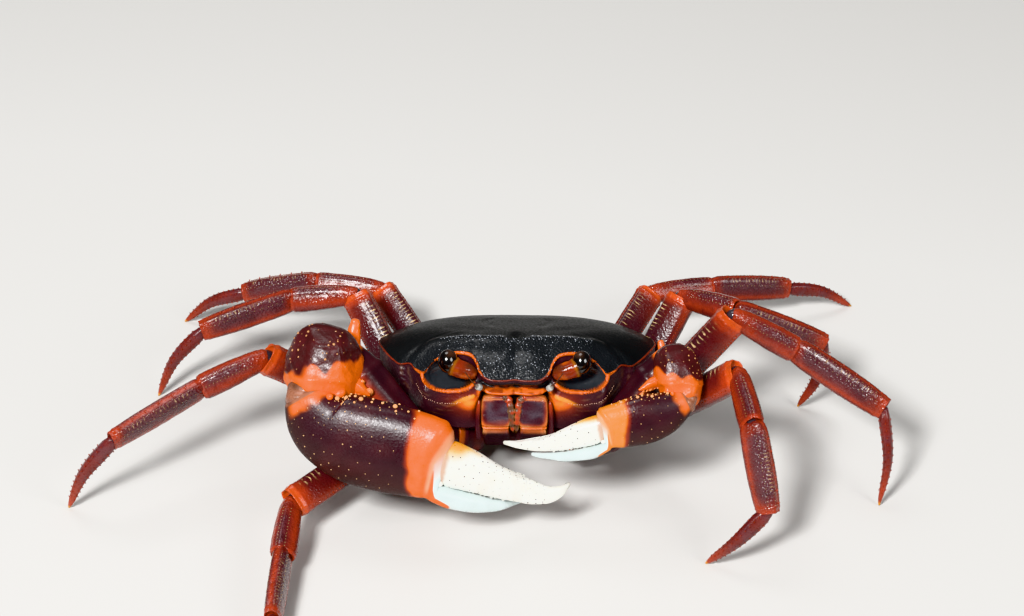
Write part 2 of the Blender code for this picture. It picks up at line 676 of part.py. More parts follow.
def make_leg(word, number):
    joints = leg_joints(word, number)
    name = "leg_%s%d_" % (word, number)
    coxa, ischium, knee, wrist, ankle, toe = joints
    directions = [(b - a).normalized() for a, b in zip(joints, joints[1:])]
    merus_girth, carpus_girth, propodus_girth, dactylus_girth = LEG_GIRTH[number]
    hip_cut = (coxa + directions[0] * GAP / 2, directions[0])
    knee_cuts = joint_cuts(directions[1], knee, directions[2])
    wrist_cuts = joint_cuts(directions[2], wrist, directions[3])
    ankle_cuts = joint_cuts(directions[3], ankle, directions[4])
    floor_cut = (Vector((0.0, 0.0, 0.0)), -UP)
    knee_bend = (directions[1], directions[2])
    ankle_bend = (directions[3], directions[4])
    leg_piece(name + "merus", bent_line(coxa, ischium, knee, shares_of(MERUS_SHAPE)),
              bend_up(directions[1], *knee_bend), MERUS_SHAPE, merus_girth,
              (hip_cut, knee_cuts[0]), "leg_dark")
    leg_piece(name + "carpus", straight_line(knee, wrist, CARPUS_SHAPE),
              bend_up(directions[2], *knee_bend), CARPUS_SHAPE, carpus_girth,
              (knee_cuts[1], wrist_cuts[0]), "leg_red")
    leg_piece(name + "propodus", straight_line(wrist, ankle, PROPODUS_SHAPE),
              bend_up(directions[3], *ankle_bend), PROPODUS_SHAPE, propodus_girth,
              (wrist_cuts[1], ankle_cuts[0]), "leg_red")
    leg_piece(name + "dactylus", straight_line(ankle, toe, DACTYLUS_SHAPE),
              side_up(directions[4]), DACTYLUS_SHAPE, dactylus_girth,
              (ankle_cuts[1], floor_cut), "leg_red",
              dactylus_spines(ankle, toe, dactylus_girth))


def claw_point(word, point):
    """A point of a claw in the stance's frame; the tables give x outwards."""
    return Vector((point[0] if word == "l" else -point[0], point[1], point[2]))


def claw_piece(name, line, rows, up, scale, cuts, slot, spines=()):
    along = line[-1] - line[0]
    girths = [(row[1] * scale, row[2] * scale, row[3] * scale, 0.82) for row in rows]
    rings = sweep_rings(line, up, girths, CLAW_SIDES, *cuts)
    return place_rings(name, rings, line[0], along, up, slot, spines)


def finger_line(word, hinge, tip, rows):
    """Points of a finger's line; its shift inwards bends the finger towards the mouth."""
    lean = Vector(HAND_LEAN).normalized()
    inwards = (tip - hinge).cross(lean).normalized()
    if inwards.y < 0:
        inwards = -inwards
    return [hinge.lerp(tip, row[0]) + inwards * row[4] for row in rows]


def make_claw(word):
    at = {key: claw_point(word, point) for key, point in CLAW_JOINTS[word].items()}
    merus_scale, carpus_scale = CLAW_SCALE[word]
    name = "cheliped_%s_" % word
    lean = Vector(HAND_LEAN).normalized()
    palm_points = [at["hand"]] + [claw_point(word, p) for p in PALM_BEND[word]] + [at["hinge"]]
    ischium_line = (at["ischium"] - at["coxa"]).normalized()
    merus_line = (at["wrist"] - at["ischium"]).normalized()
    carpus_line = (at["hand"] - at["wrist"]).normalized()
    palm_line = (palm_points[1] - palm_points[0]).normalized()
    wrist_cuts = joint_cuts(merus_line, at["wrist"], carpus_line)
    hand_cuts = joint_cuts(carpus_line, at["hand"], palm_line)

    line = bent_line(at["coxa"], at["ischium"], at["wrist"], [row[0] for row in CLAW_MERUS])
    count = MERUS_TUBERCLES[word]
    tubercles = []
    for index in range(count):
        t = 0.42 + 0.46 * index / (count - 1)
        middle = at["coxa"].lerp(at["wrist"], t)
        front = Vector((0.0, -0.8, -0.6))
        root = middle + front * 2.4 * merus_scale
        tubercles.append(cone_piece(root, root + front * 1.7 * merus_scale, 0.75 * merus_scale))
    claw_piece(name + "merus", line, CLAW_MERUS, UP, merus_scale,
               ((at["coxa"] + ischium_line * GAP / 2, ischium_line), wrist_cuts[0]),
               "claw_shell", tubercles)

    line = [at["wrist"].lerp(at["hand"], row[0]) for row in CLAW_CARPUS]
    root, tip, radius = CARPUS_SPINE[word]
    claw_piece(name + "carpus", line, CLAW_CARPUS, UP, carpus_scale,
               (wrist_cuts[1], hand_cuts[0]), "claw_shell",
               [cone_piece(claw_point(word, root), claw_point(word, tip), radius)])

    line = [Vector(p) for p in smooth_at(palm_points, [row[0] for row in PALM[word]])]
    line += finger_line(word, at["hinge"], at["tip"], FIXED_FINGER[word])
    claw_piece(name + "palm", line, PALM[word] + FIXED_FINGER[word], lean, 1.0,
               (hand_cuts[1], None), "claw_shell")
    line = finger_line(word, at["hinge"], at["tip"], FREE_FINGER[word])
    claw_piece(name + "dactylus", line, FREE_FINGER[word], lean, 1.0, (None, None), "ivory")


clear_scene()
crab = collection("crab")
cutters = collection("cutters")
stance = bpy.data.objects.new("stance", None)
crab.objects.link(stance)
stance.location = metres((-STAND_CENTRE[0], -STAND_CENTRE[1], 0.0))
body = bpy.data.objects.new("body_frame", None)
crab.objects.link(body)
body.parent = stance
body.location = metres((0.0, 0.0, BODY_HEIGHT))
body.rotation_euler = (-BODY_PITCH, 0.0, 0.0)

make_carapace()
make_thorax()
make_abdomen()
for sign, mark in ((1, "l"), (-1, "r")):
    make_maxilliped(sign, mark)
    make_eye(sign, mark)
    make_antenna(sign, mark)
    make_claw(mark)
    for leg_number in (2, 3, 4, 5):
        make_leg(mark, leg_number)
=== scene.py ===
import math

import bpy
import numpy as np
from mathutils import Matrix, Vector


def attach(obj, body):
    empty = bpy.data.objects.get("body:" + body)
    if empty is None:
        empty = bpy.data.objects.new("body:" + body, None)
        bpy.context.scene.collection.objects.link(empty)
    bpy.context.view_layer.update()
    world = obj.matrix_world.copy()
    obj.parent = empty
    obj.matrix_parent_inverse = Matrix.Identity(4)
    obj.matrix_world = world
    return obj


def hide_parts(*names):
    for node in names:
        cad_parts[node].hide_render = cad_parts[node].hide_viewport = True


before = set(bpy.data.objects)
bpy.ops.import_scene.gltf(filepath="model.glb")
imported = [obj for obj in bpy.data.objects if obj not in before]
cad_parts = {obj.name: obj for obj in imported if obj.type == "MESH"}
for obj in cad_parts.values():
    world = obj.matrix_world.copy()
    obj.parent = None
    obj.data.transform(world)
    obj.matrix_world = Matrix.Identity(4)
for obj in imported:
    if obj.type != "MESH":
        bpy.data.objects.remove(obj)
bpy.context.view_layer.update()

# Everything below is in millimetres until a mesh is made
mm = 0.001
floorTouch = 0.02        # a point below this height stands on the floor
weldGap = 2e-7           # metres; closer points of a sheet are one
jointGap = {"least": 0.55, "slack": 0.15}    # how near two nodes' points count as their joint
noise = {"mix": (127.1, 311.7, 74.7), "spread": 43758.5453, "seedStep": 17.3}
scatter = {"share": 0.7548776662, "turn": 0.5698402910, "size": 0.618, "pick": 0.381966,
           "tone": 0.7548}    # steps that spread evenly
up = np.array([0.0, 0.0, 1.0])
stance = {"height": 14.5, "pitch": math.radians(24.0), "shift": np.array([5.326, 15.319, 0.0])}

tint = {
    "shell": (0.0080, 0.0083, 0.0086), "slate": (0.017, 0.0185, 0.0205), "orange": (0.70, 0.130, 0.010),
    "amber": (0.86, 0.38, 0.035), "maroon": (0.050, 0.0128, 0.0165), "plum": (0.026, 0.0065, 0.0100),
    "red": (0.118, 0.019, 0.0155), "rust": (0.275, 0.034, 0.0125), "mauve": (0.072, 0.026, 0.032),
    "cream": (0.80, 0.56, 0.28), "ivory": (0.925, 0.93, 0.865), "skin": (0.045, 0.036, 0.043),
    "umber": (0.040, 0.019, 0.012), "black": (0.0035, 0.0030, 0.0030),
    "membrane": (0.27, 0.115, 0.070), "ember": (0.50, 0.078, 0.018), "dusk": (0.090, 0.048, 0.056),
    "shade": (0.045, 0.024, 0.030), "streak": (0.150, 0.078, 0.058), "chalk": (0.30, 0.26, 0.24),
    "copper": (0.52, 0.18, 0.06), "yolk": (0.95, 0.56, 0.09), "flame": (0.90, 0.34, 0.020),
    "horn": (0.42, 0.40, 0.36), "creaseShadow": (0.34, 0.13, 0.045), "granule": (0.50, 0.29, 0.22),
    "glint": (0.34, 0.36, 0.40),
}
tint = {key: np.array(value) for key, value in tint.items()}


def deselectAll():
    for item in bpy.context.selected_objects:
        item.select_set(False)


# Body frame (x to the crab's left, f forward, z up from the widest level) to the floor's. A side of -1
# mirrors the points
def inBody(points, side=1):
    points = np.asarray(points, float) * (side, 1, 1)
    x, f, z = points[..., 0], points[..., 1], points[..., 2]
    sine, cosine = math.sin(stance["pitch"]), math.cos(stance["pitch"])
    out = np.stack([x, z * sine - f * cosine, stance["height"] + f * sine + z * cosine], -1)
    return out + stance["shift"]


# Floor frame back to the body frame
def toBody(points):
    p = np.asarray(points, float) - stance["shift"] - (0, 0, stance["height"])
    sine, cosine = math.sin(stance["pitch"]), math.cos(stance["pitch"])
    x, y, z = p[..., 0], p[..., 1], p[..., 2]
    return np.stack([x, z * sine - y * cosine, z * cosine + y * sine], -1)


# Points measured from under the carapace's middle, on the floor, to the frame. A side of -1 mirrors them
def onFloor(points, side=1):
    return np.asarray(points, float) * (side, 1, 1) + stance["shift"]


def unit(v):
    v = np.asarray(v, float)
    return v / np.maximum(np.linalg.norm(v, axis=-1, keepdims=True), 1e-9)


# Cubic curve through values at knots with given slopes, read at t
def cubic(knots, values, slope, t):
    t = np.clip(t, knots[0], knots[-1])
    i = np.clip(np.searchsorted(knots, t, side="right") - 1, 0, len(knots) - 2)
    width = (knots[i + 1] - knots[i])[..., None]
    s = (t[..., None] - knots[i][..., None]) / width
    a, b, p, q = values[i], values[i + 1], slope[i] * width, slope[i + 1] * width
    return (a * (1 + 2 * s) * (1 - s) ** 2 + b * s * s * (3 - 2 * s)
            + p * s * (1 - s) ** 2 - q * s * s * (1 - s))


# Smooth curve through values at knots, read at t
def smooth(knots, values, t):
    knots, values = np.asarray(knots, float), np.asarray(values, float)
    if values.ndim == 1:
        return smooth(knots, values[:, None], t)[..., 0]
    return cubic(knots, values, np.gradient(values, knots, axis=0), t)


# Curve through values at knots that never swings past them
def eased(knots, values, t):
    knots, values = np.asarray(knots, float), np.asarray(values, float)
    rate = np.diff(values, axis=0) / np.diff(knots)[:, None]
    before, after = rate[:-1], rate[1:]
    product = before * after
    middle = np.where(product > 0, 2 * product / np.where(product > 0, before + after, 1.0), 0.0)
    return cubic(knots, values, np.concatenate([rate[:1], middle, rate[-1:]]), t)


def step(low, high, x):
    s = np.clip((x - low) / (high - low), 0.0, 1.0)
    return s * s * (3 - 2 * s)


def bump(centre, width, x):
    return np.exp(-((x - centre) / width) ** 2)


def blend(a, b, mask):
    return a + (b - a) * np.clip(mask, 0.0, 1.0)[..., None]


# Coats of paint one over the other, each a colour and its mask
def coats(paint, *layers):
    for colour, mask in layers:
        paint = blend(paint, colour, mask)
    return paint


# Smooth random field between -1 and 1 with features of the given size
def fuzz(points, size, seed):
    q = points / size + seed * noise["seedStep"]
    cell = np.floor(q)
    f = q - cell
    f = f * f * (3 - 2 * f)
    total = 0.0
    for i in (0, 1):
        for j in (0, 1):
            for k in (0, 1):
                corner = cell + (i, j, k)
                raw = np.sin(corner @ noise["mix"]) * noise["spread"]
                weight = ((f[..., 0] if i else 1 - f[..., 0]) * (f[..., 1] if j else 1 - f[..., 1])
                          * (f[..., 2] if k else 1 - f[..., 2]))
                total = total + weight * (raw - np.floor(raw))
    return total * 2 - 1


def normalsOf(grid):
    across = np.roll(grid, -1, 1) - np.roll(grid, 1, 1)
    down = np.gradient(grid, axis=0)
    return unit(np.cross(across, down))


# One colour for each point of a mesh
def paintPoints(mesh, key, field):
    layer = mesh.color_attributes.new(key, "FLOAT_COLOR", "POINT")
    full = np.ones((len(field), 4), np.float32)
    full[:, :3] = field
    layer.data.foreach_set("color", full.ravel())


# A grid primitive wrapped onto rows of points, sewn along its seam and at its poles
def makeSheet(name, grid, paint, finish):
    rows, columns = grid.shape[0], grid.shape[1] + 1
    wrap = list(range(columns - 1)) + [0]
    grid, paint, finish = grid[:, wrap], paint[:, wrap], finish[:, wrap]
    deselectAll()
    bpy.ops.mesh.primitive_grid_add(x_subdivisions=columns - 1, y_subdivisions=rows - 1, size=1.0)
    sheet = bpy.context.object
    sheet.name = name
    flat = np.empty(len(sheet.data.vertices) * 3, np.float32)
    sheet.data.vertices.foreach_get("co", flat)
    flat = flat.reshape(-1, 3) + 0.5
    i = np.rint(flat[:, 0] * (columns - 1)).astype(int)
    j = np.rint(flat[:, 1] * (rows - 1)).astype(int)
    sheet.data.vertices.foreach_set("co", (grid[j, i] * mm).astype(np.float32).ravel())
    paintPoints(sheet.data, "paint", paint[j, i])
    paintPoints(sheet.data, "finish", finish[j, i])
    bpy.ops.object.mode_set(mode="EDIT")
    bpy.ops.mesh.select_all(action="SELECT")
    bpy.ops.mesh.remove_doubles(threshold=weldGap)
    bpy.ops.mesh.normals_make_consistent(inside=False)
    bpy.ops.object.mode_set(mode="OBJECT")
    bpy.ops.object.shade_smooth()
    return sheet


# Ends of a limb piece as (size of the ring, push along the piece) from the last ring to the pole
ballEnd = ((0.985, 0.17), (0.92, 0.39), (0.81, 0.59), (0.64, 0.77), (0.42, 0.91), (0.20, 0.98), (0.0, 1.0))
domeEnd = ((0.97, 0.12), (0.88, 0.28), (0.72, 0.44), (0.50, 0.55), (0.25, 0.60), (0.0, 0.62))
mouthEnd = ((0.96, 0.05), (0.90, 0.02), (0.84, -0.14), (0.78, -0.45), (0.45, -0.60), (0.0, -0.65))


# A limb piece swept along a line. rows are (share, above, below, thickness, sideways)
def limbTube(name, line, rise, rows, painter, along, around=48, start=domeEnd, end=domeEnd,
             startSize=None, endSize=1.0, corners=(0.78, 0.85, 0.85), relief=None, flip=1,
             knots=None, warp=None, mould=None):
    rows = np.array(rows, float)
    line = np.array(line, float)
    knots = np.linspace(0, 1, len(line)) if knots is None else np.array(knots, float)
    share = np.concatenate([np.zeros(len(start)), np.linspace(0, 1, along), np.ones(len(end))])
    ring = np.concatenate([[s for s, p in start][::-1], np.ones(along), [s for s, p in end]])
    startSize = endSize if startSize is None else startSize
    push = np.concatenate([[-p * startSize for s, p in start][::-1], np.zeros(along),
                           [p * endSize for s, p in end]])
    centre = smooth(knots, line, share)
    forward = unit(smooth(knots, line, np.clip(share + 0.01, 0, 1))
                   - smooth(knots, line, np.clip(share - 0.01, 0, 1)))
    side = unit(np.cross(forward, rise)) * flip
    tall = unit(np.cross(side, forward)) * flip
    size = eased(rows[:, 0], rows[:, 1:], share)
    if size.shape[1] < 4:
        size = np.concatenate([size, np.zeros((len(size), 1))], 1)
    angle = np.linspace(0, 2 * math.pi, around, endpoint=False)
    c, s = np.cos(angle), np.sin(angle)
    across = np.sign(c) * np.abs(c) ** corners[0]
    height = np.where(s > 0, np.abs(s) ** corners[1], -np.abs(s) ** corners[2])
    waist = np.where(size[:, 0] < 0, (size[:, 0] - size[:, 1]) / 2, 0.0)[:, None]
    tallness = np.where(s > 0, size[:, 0:1] - waist, size[:, 1:2] + waist)
    x = across * size[:, 2:3] / 2 * ring[:, None] + size[:, 3:4]
    y = height * tallness * ring[:, None] + waist
    grid = (centre[:, None] + side[:, None] * x[..., None] + tall[:, None] * y[..., None]
            + forward[:, None] * push[:, None, None])
    share2 = np.repeat(share[:, None], around, 1)
    angle2 = np.repeat(np.degrees(angle)[None], len(share), 0)
    if warp:
        grid = grid + forward[:, None] * warp(share2, angle2)[..., None]
    if mould:
        grid = mould(grid)
    out = normalsOf(grid) * flip
    if relief:
        lift = relief(share2, angle2, grid) * ring[:, None] ** 2
        grid = grid + out * lift[..., None]
        out = normalsOf(grid) * flip
    paint, finish = painter(share2, angle2, grid)
    piece = makeSheet(name, grid, paint, finish)
    return {"piece": piece, "grid": grid, "out": out, "around": around, "first": len(start), "rows": along}


# Points and outward normals of a limb piece at shares along it and degrees round it
def onTube(tube, share, degrees):
    share, degrees = np.broadcast_arrays(np.asarray(share, float), np.asarray(degrees, float))
    row = tube["first"] + np.clip(np.rint(share * (tube["rows"] - 1)).astype(int), 0, tube["rows"] - 1)
    column = np.rint(degrees / 360.0 * tube["around"]).astype(int) % tube["around"]
    return tube["grid"][row, column], tube["out"][row, column]


# Relief of small lumps
def uneven(height, size):
    return lambda t, a, grid: height * fuzz(grid, size, 3)


# Painter of one colour
def steady(colour, gloss, grain):
    return lambda t, a, grid: (np.broadcast_to(colour, grid.shape), finishOf(grid, gloss, grain))


# Roughness, grain height and strength of the pale rungs, for each point
def finishOf(grid, gloss, grain, rungs=0.0):
    out = np.zeros(grid.shape)
    out[..., 0], out[..., 1], out[..., 2] = gloss, grain, rungs
    return out


# Copies of a small mesh set on a surface and joined. stamp is points and faces
def stampCopies(name, stamp, points, out, sizes, colour, gloss=0.3):
    points, out = np.asarray(points, float), unit(out)
    corners, faces = stamp
    sizes = np.broadcast_to(np.asarray(sizes, float), (len(points), 3))
    guide = np.where(np.abs(out[:, 2:3]) > 0.9, [1.0, 0.0, 0.0], [0.0, 0.0, 1.0])
    a = unit(np.cross(guide, out))
    b = np.cross(out, a)
    verts = (points[:, None] + a[:, None] * (corners[None, :, 0:1] * sizes[:, None, 0:1])
             + b[:, None] * (corners[None, :, 1:2] * sizes[:, None, 1:2])
             + out[:, None] * (corners[None, :, 2:3] * sizes[:, None, 2:3]))
    count = len(corners)
    every = [tuple(v + k * count for v in face) for k in range(len(points)) for face in faces]
    mesh = bpy.data.meshes.new(name)
    mesh.from_pydata((verts.reshape(-1, 3) * mm).tolist(), [], every)
    mesh.uv_layers.new(name="UVMap")
    tone = np.repeat(np.broadcast_to(colour, (len(points), 3)), count, 0)
    paintPoints(mesh, "paint", tone)
    paintPoints(mesh, "finish", np.broadcast_to((gloss, 0.0, 0.0), tone.shape))
    mesh.shade_smooth()
    piece = bpy.data.objects.new(name, mesh)
    bpy.context.collection.objects.link(piece)
    return piece


# Sizes of stamps that are as deep as they are wide
def roundSizes(width, height):
    return np.stack([width, width, height + 0 * width], 1)


# Points and faces of a primitive, used as a stamp
def stampOf(maker, **kwargs):
    deselectAll()
    maker(**kwargs)
    item = bpy.context.object
    corners = np.array([v.co[:] for v in item.data.vertices])
    faces = [tuple(p.vertices) for p in item.data.polygons]
    bpy.data.objects.remove(item)
    return corners, faces


beadStamp = stampOf(bpy.ops.mesh.primitive_ico_sphere_add, subdivisions=2, radius=1.0)
fineBeadStamp = stampOf(bpy.ops.mesh.primitive_ico_sphere_add, subdivisions=1, radius=1.0)
hairStamp = stampOf(bpy.ops.mesh.primitive_cone_add, vertices=5, radius1=1.0, radius2=0.15,
                    depth=1.0, location=(0, 0, 0.5))
spineStamp = stampOf(bpy.ops.mesh.primitive_cone_add, vertices=10, radius1=1.0, radius2=0.10,
                     depth=1.0, location=(0, 0, 0.5))


def joinPieces(pieces, name):
    deselectAll()
    for piece in pieces:
        piece.select_set(True)
    bpy.context.view_layer.objects.active = pieces[0]
    if len(pieces) > 1:
        bpy.ops.object.join()
    pieces[0].name = name
    pieces[0].data.name = name
    return pieces[0]


# Join the pieces of one body part, give them their finish and let them stand for its node
def settle(pieces, name, material, nodes):
    for piece in pieces:
        piece.data.materials.clear()
        piece.data.materials.append(material)
    whole = joinPieces(pieces, name)
    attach(whole, "root")
    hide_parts(*nodes)
    return whole


# Materials
def groupNode(name, inputs, outputs):
    group = bpy.data.node_groups.new(name, "ShaderNodeTree")
    for key, kind, value in inputs:
        socket = group.interface.new_socket(name=key, in_out="INPUT", socket_type=kind)
        socket.default_value = value
    for key, kind in outputs:
        group.interface.new_socket(name=key, in_out="OUTPUT", socket_type=kind)
    return group, group.nodes.new("NodeGroupInput"), group.nodes.new("NodeGroupOutput")


def addNode(tree, kind, **settings):
    node = tree.nodes.new(kind)
    for key, value in settings.items():
        if key == "inputs":
            for socket, number in value.items():
                node.inputs[socket].default_value = number
        else:
            setattr(node, key, value)
    return node


def mathNode(tree, operation, first, second, clamp=False):
    node = addNode(tree, "ShaderNodeMath", operation=operation, use_clamp=clamp)
    for k, value in enumerate((first, second)):
        if isinstance(value, (int, float)):
            node.inputs[k].default_value = value
        else:
            tree.links.new(value, node.inputs[k])
    return node.outputs[0]


# Uneven colour of wet shell and the height of its granules
def makeGrainGroup():
    group, given, out = groupNode(
        "shellGrain",
        [("Scale", "NodeSocketFloat", 2500.0), ("Blotch", "NodeSocketFloat", 0.25)],
        [("Tone", "NodeSocketFloat"), ("Granules", "NodeSocketFloat"), ("Smudge", "NodeSocketFloat")])
    place = addNode(group, "ShaderNodeTexCoord")
    cells = addNode(group, "ShaderNodeTexVoronoi", feature="SMOOTH_F1",
                    inputs={"Randomness": 1.0, "Smoothness": 0.6})
    cloud = addNode(group, "ShaderNodeTexNoise", inputs={"Scale": 420.0, "Detail": 5.0, "Roughness": 0.6})
    fine = addNode(group, "ShaderNodeTexNoise", inputs={"Scale": 3400.0, "Detail": 3.0})
    for node in (cells, cloud, fine):
        group.links.new(place.outputs["Object"], node.inputs["Vector"])
    group.links.new(given.outputs["Scale"], cells.inputs["Scale"])
    swing = mathNode(group, "SUBTRACT", cloud.outputs["Fac"], 0.5)
    swing = mathNode(group, "MULTIPLY", swing, given.outputs["Blotch"])
    swing = mathNode(group, "MULTIPLY", swing, 4.0)
    group.links.new(mathNode(group, "ADD", swing, 1.0), out.inputs["Tone"])
    domes = mathNode(group, "SUBTRACT", 0.62, cells.outputs["Distance"], clamp=True)
    group.links.new(mathNode(group, "MULTIPLY", domes, 1.6), out.inputs["Granules"])
    group.links.new(fine.outputs["Fac"], out.inputs["Smudge"])
    return group


# Short pale rungs across a limb, counted along its own map
def makeRungGroup():
    group, given, out = groupNode(
        "paleRungs",
        [("Count", "NodeSocketFloat", 24.0), ("Thin", "NodeSocketFloat", 0.62)],
        [("Mask", "NodeSocketFloat")])
    place = addNode(group, "ShaderNodeUVMap", uv_map="UVMap")
    split = addNode(group, "ShaderNodeSeparateXYZ")
    place3d = addNode(group, "ShaderNodeTexCoord")
    wobble = addNode(group, "ShaderNodeTexNoise", inputs={"Scale": 900.0, "Detail": 2.0})
    group.links.new(place3d.outputs["Object"], wobble.inputs["Vector"])
    group.links.new(place.outputs["UV"], split.inputs["Vector"])
    along = mathNode(group, "MULTIPLY", split.outputs["Y"], given.outputs["Count"])
    along = mathNode(group, "ADD", along, mathNode(group, "MULTIPLY", wobble.outputs["Fac"], 1.3))
    wave = mathNode(group, "SINE", mathNode(group, "MULTIPLY", along, 2 * math.pi), 0.0)
    thin = mathNode(group, "SUBTRACT", wave, given.outputs["Thin"])
    mask = mathNode(group, "MULTIPLY", thin, 5.0, clamp=True)
    broken = mathNode(group, "SUBTRACT", wobble.outputs["Fac"], 0.40)
    broken = mathNode(group, "MULTIPLY", broken, 6.0, clamp=True)
    group.links.new(mathNode(group, "MULTIPLY", mask, broken), out.inputs["Mask"])
    return group


grainGroup = makeGrainGroup()
rungGroup = makeRungGroup()


# Painted shell: the colours come from the piece, the grain from the groups
def shellMaterial(name, scale, blotch, relief, coat=0.35, rungs=0.0,
                  subsurface=0.0, specular=0.4):
    made = bpy.data.materials.new(name)
    made.use_nodes = True
    tree = made.node_tree
    shader = tree.nodes["Principled BSDF"]
    shader.inputs["Coat Roughness"].default_value = 0.18
    shader.inputs["Specular IOR Level"].default_value = specular
    if subsurface:
        shader.inputs["Subsurface Weight"].default_value = subsurface
        shader.inputs["Subsurface Radius"].default_value = (1.0, 0.9, 0.75)
        shader.inputs["Subsurface Scale"].default_value = 0.0008
    paint = addNode(tree, "ShaderNodeAttribute", attribute_name="paint")
    finish = addNode(tree, "ShaderNodeAttribute", attribute_name="finish")
    split = addNode(tree, "ShaderNodeSeparateColor")
    tree.links.new(finish.outputs["Color"], split.inputs["Color"])
    grain = addNode(tree, "ShaderNodeGroup", node_tree=grainGroup,
                    inputs={"Scale": scale, "Blotch": blotch})
    toned = addNode(tree, "ShaderNodeVectorMath", operation="SCALE")
    tree.links.new(paint.outputs["Color"], toned.inputs[0])
    tree.links.new(grain.outputs["Tone"], toned.inputs["Scale"])
    colour = toned.outputs[0]
    if rungs:
        stripes = addNode(tree, "ShaderNodeGroup", node_tree=rungGroup, inputs={"Count": rungs})
        pale = addNode(tree, "ShaderNodeMix", data_type="RGBA")
        pale.inputs["B"].default_value = (*tint["cream"], 1.0)
        tree.links.new(colour, pale.inputs["A"])
        tree.links.new(mathNode(tree, "MULTIPLY", stripes.outputs["Mask"], split.outputs["Blue"]),
                       pale.inputs["Factor"])
        colour = pale.outputs["Result"]
    tree.links.new(colour, shader.inputs["Base Color"])
    rough = mathNode(tree, "SUBTRACT", grain.outputs["Smudge"], 0.5)
    rough = mathNode(tree, "MULTIPLY", rough, 0.5)
    rough = mathNode(tree, "ADD", rough, split.outputs["Red"], clamp=True)
    tree.links.new(rough, shader.inputs["Roughness"])
    wet = mathNode(tree, "SUBTRACT", 0.62, split.outputs["Red"], clamp=True)
    wet = mathNode(tree, "MULTIPLY", wet, coat * 2.0, clamp=True)
    tree.links.new(wet, shader.inputs["Coat Weight"])
    height = mathNode(tree, "MULTIPLY", grain.outputs["Granules"], split.outputs["Green"])
    raised = addNode(tree, "ShaderNodeBump", inputs={"Distance": relief, "Strength": 1.0})
    tree.links.new(height, raised.inputs["Height"])
    tree.links.new(raised.outputs["Normal"], shader.inputs["Normal"])
    return made


legShell = shellMaterial("legShell", scale=2900.0, blotch=0.24, relief=0.00007, rungs=26.0)
print("materials ready")


# Joints, read from where two neighbouring nodes face each other
def cadPoints(node):
    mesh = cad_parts[node].data
    flat = np.empty(len(mesh.vertices) * 3, np.float32)
    mesh.vertices.foreach_get("co", flat)
    return np.unique(flat.reshape(-1, 3).round(6), axis=0) / mm


def jointBetween(first, second):
    a, b = cadPoints(first), cadPoints(second)
    gaps = np.linalg.norm(a[:, None] - b[None], axis=2)
    near = max(jointGap["least"], gaps.min() + jointGap["slack"])
    return (a[gaps.min(1) < near].mean(0) + b[gaps.min(0) < near].mean(0)) / 2


def toeOf(node):
    points = cadPoints(node)
    return points[points[:, 2] < floorTouch].mean(0)


# Walking legs
walkingLeg = {
    "girth": {2: ((4.9, 2.9), (3.8, 2.8), (3.9, 2.3), (2.1, 1.6)),
              3: ((5.0, 3.0), (3.9, 2.9), (3.9, 2.3), (2.1, 1.6)),
              4: ((4.8, 2.8), (3.8, 2.8), (3.8, 2.2), (2.0, 1.5)),
              5: ((4.5, 2.6), (3.6, 2.6), (3.7, 2.1), (2.0, 1.5))},
    # degrees from straight ahead, rise in degrees and length of the first joint
    "ischium": {2: (60, 12, 4.8), 3: (82, 8, 6.2), 4: (100, 8, 5.6), 5: (132, 6, 4.4)},
    # share along, height above and below and thickness against the girth
    "merus": ((0, .66, .62, .80), (.08, .80, .74, .95), (.25, .92, .86, 1.0), (.5, 1.0, .94, 1.0),
              (.75, .98, .98, 1.0), (.88, .96, .98, 1.02), (.955, .97, 1.00, 1.07), (1, .90, .95, 1.05)),
    "carpus": ((0, .74, .64, .82), (.08, .84, .74, .90), (.20, .92, .82, .95), (.42, 1.0, .92, 1.0),
               (.65, 1.04, 1.0, 1.02), (.86, 1.03, 1.02, 1.02), (.95, .99, .98, 1.0), (1, .90, .88, .94)),
    "propodus": ((0, .92, .90, .95), (.05, 1.02, .99, 1.02), (.2, 1.07, 1.05, 1.04), (.5, 1.10, 1.08, 1.04),
                 (.8, 1.02, .98, 1.0), (.93, .92, .90, .95), (1, .85, .83, .91)),
    "dactylus": ((0, .84, .84, .90), (.06, 1.04, 1.04, 1.08), (.2, 1.04, 1.04, 1.06), (.45, .88, .88, .90),
                 (.7, .66, .66, .68), (.88, .46, .46, .48), (.97, .26, .27, .29), (1, .14, .14, .16)),
    "upright": 0.4, "spineRows": (35, 90, 145, 215, 270, 325), "spinesInRow": 11,
}


def aroundDistance(angle, target):
    return np.abs((angle - target + 180.0) % 360.0 - 180.0)


def ridge(angle, target, width):
    return np.exp(-(aroundDistance(angle, target) / width) ** 2)


# The stronger of two ridges of one width
def ridges(angle, first, second, width):
    return np.maximum(ridge(angle, first, width), ridge(angle, second, width))


def meronRelief(t, a, grid):
    teeth = np.clip(np.sin(t * 2 * math.pi * 26), -0.2, 1) * step(0.08, 0.2, t) * step(0.93, 0.86, t)
    lift = ridge(a, 90, 13) * (0.16 + 0.10 * teeth)
    lift += (ridge(a, 232, 14) + ridge(a, 308, 14)) * 0.12
    lift += (ridge(a, 28, 9) + ridge(a, 152, 9)) * 0.07 * step(0.15, 0.3, t)
    lift -= 0.06 * bump(0.945, 0.010, t)
    lift += 0.05 * bump(0.975, 0.014, t)
    return lift + 0.03 * fuzz(grid, 0.9, 1)


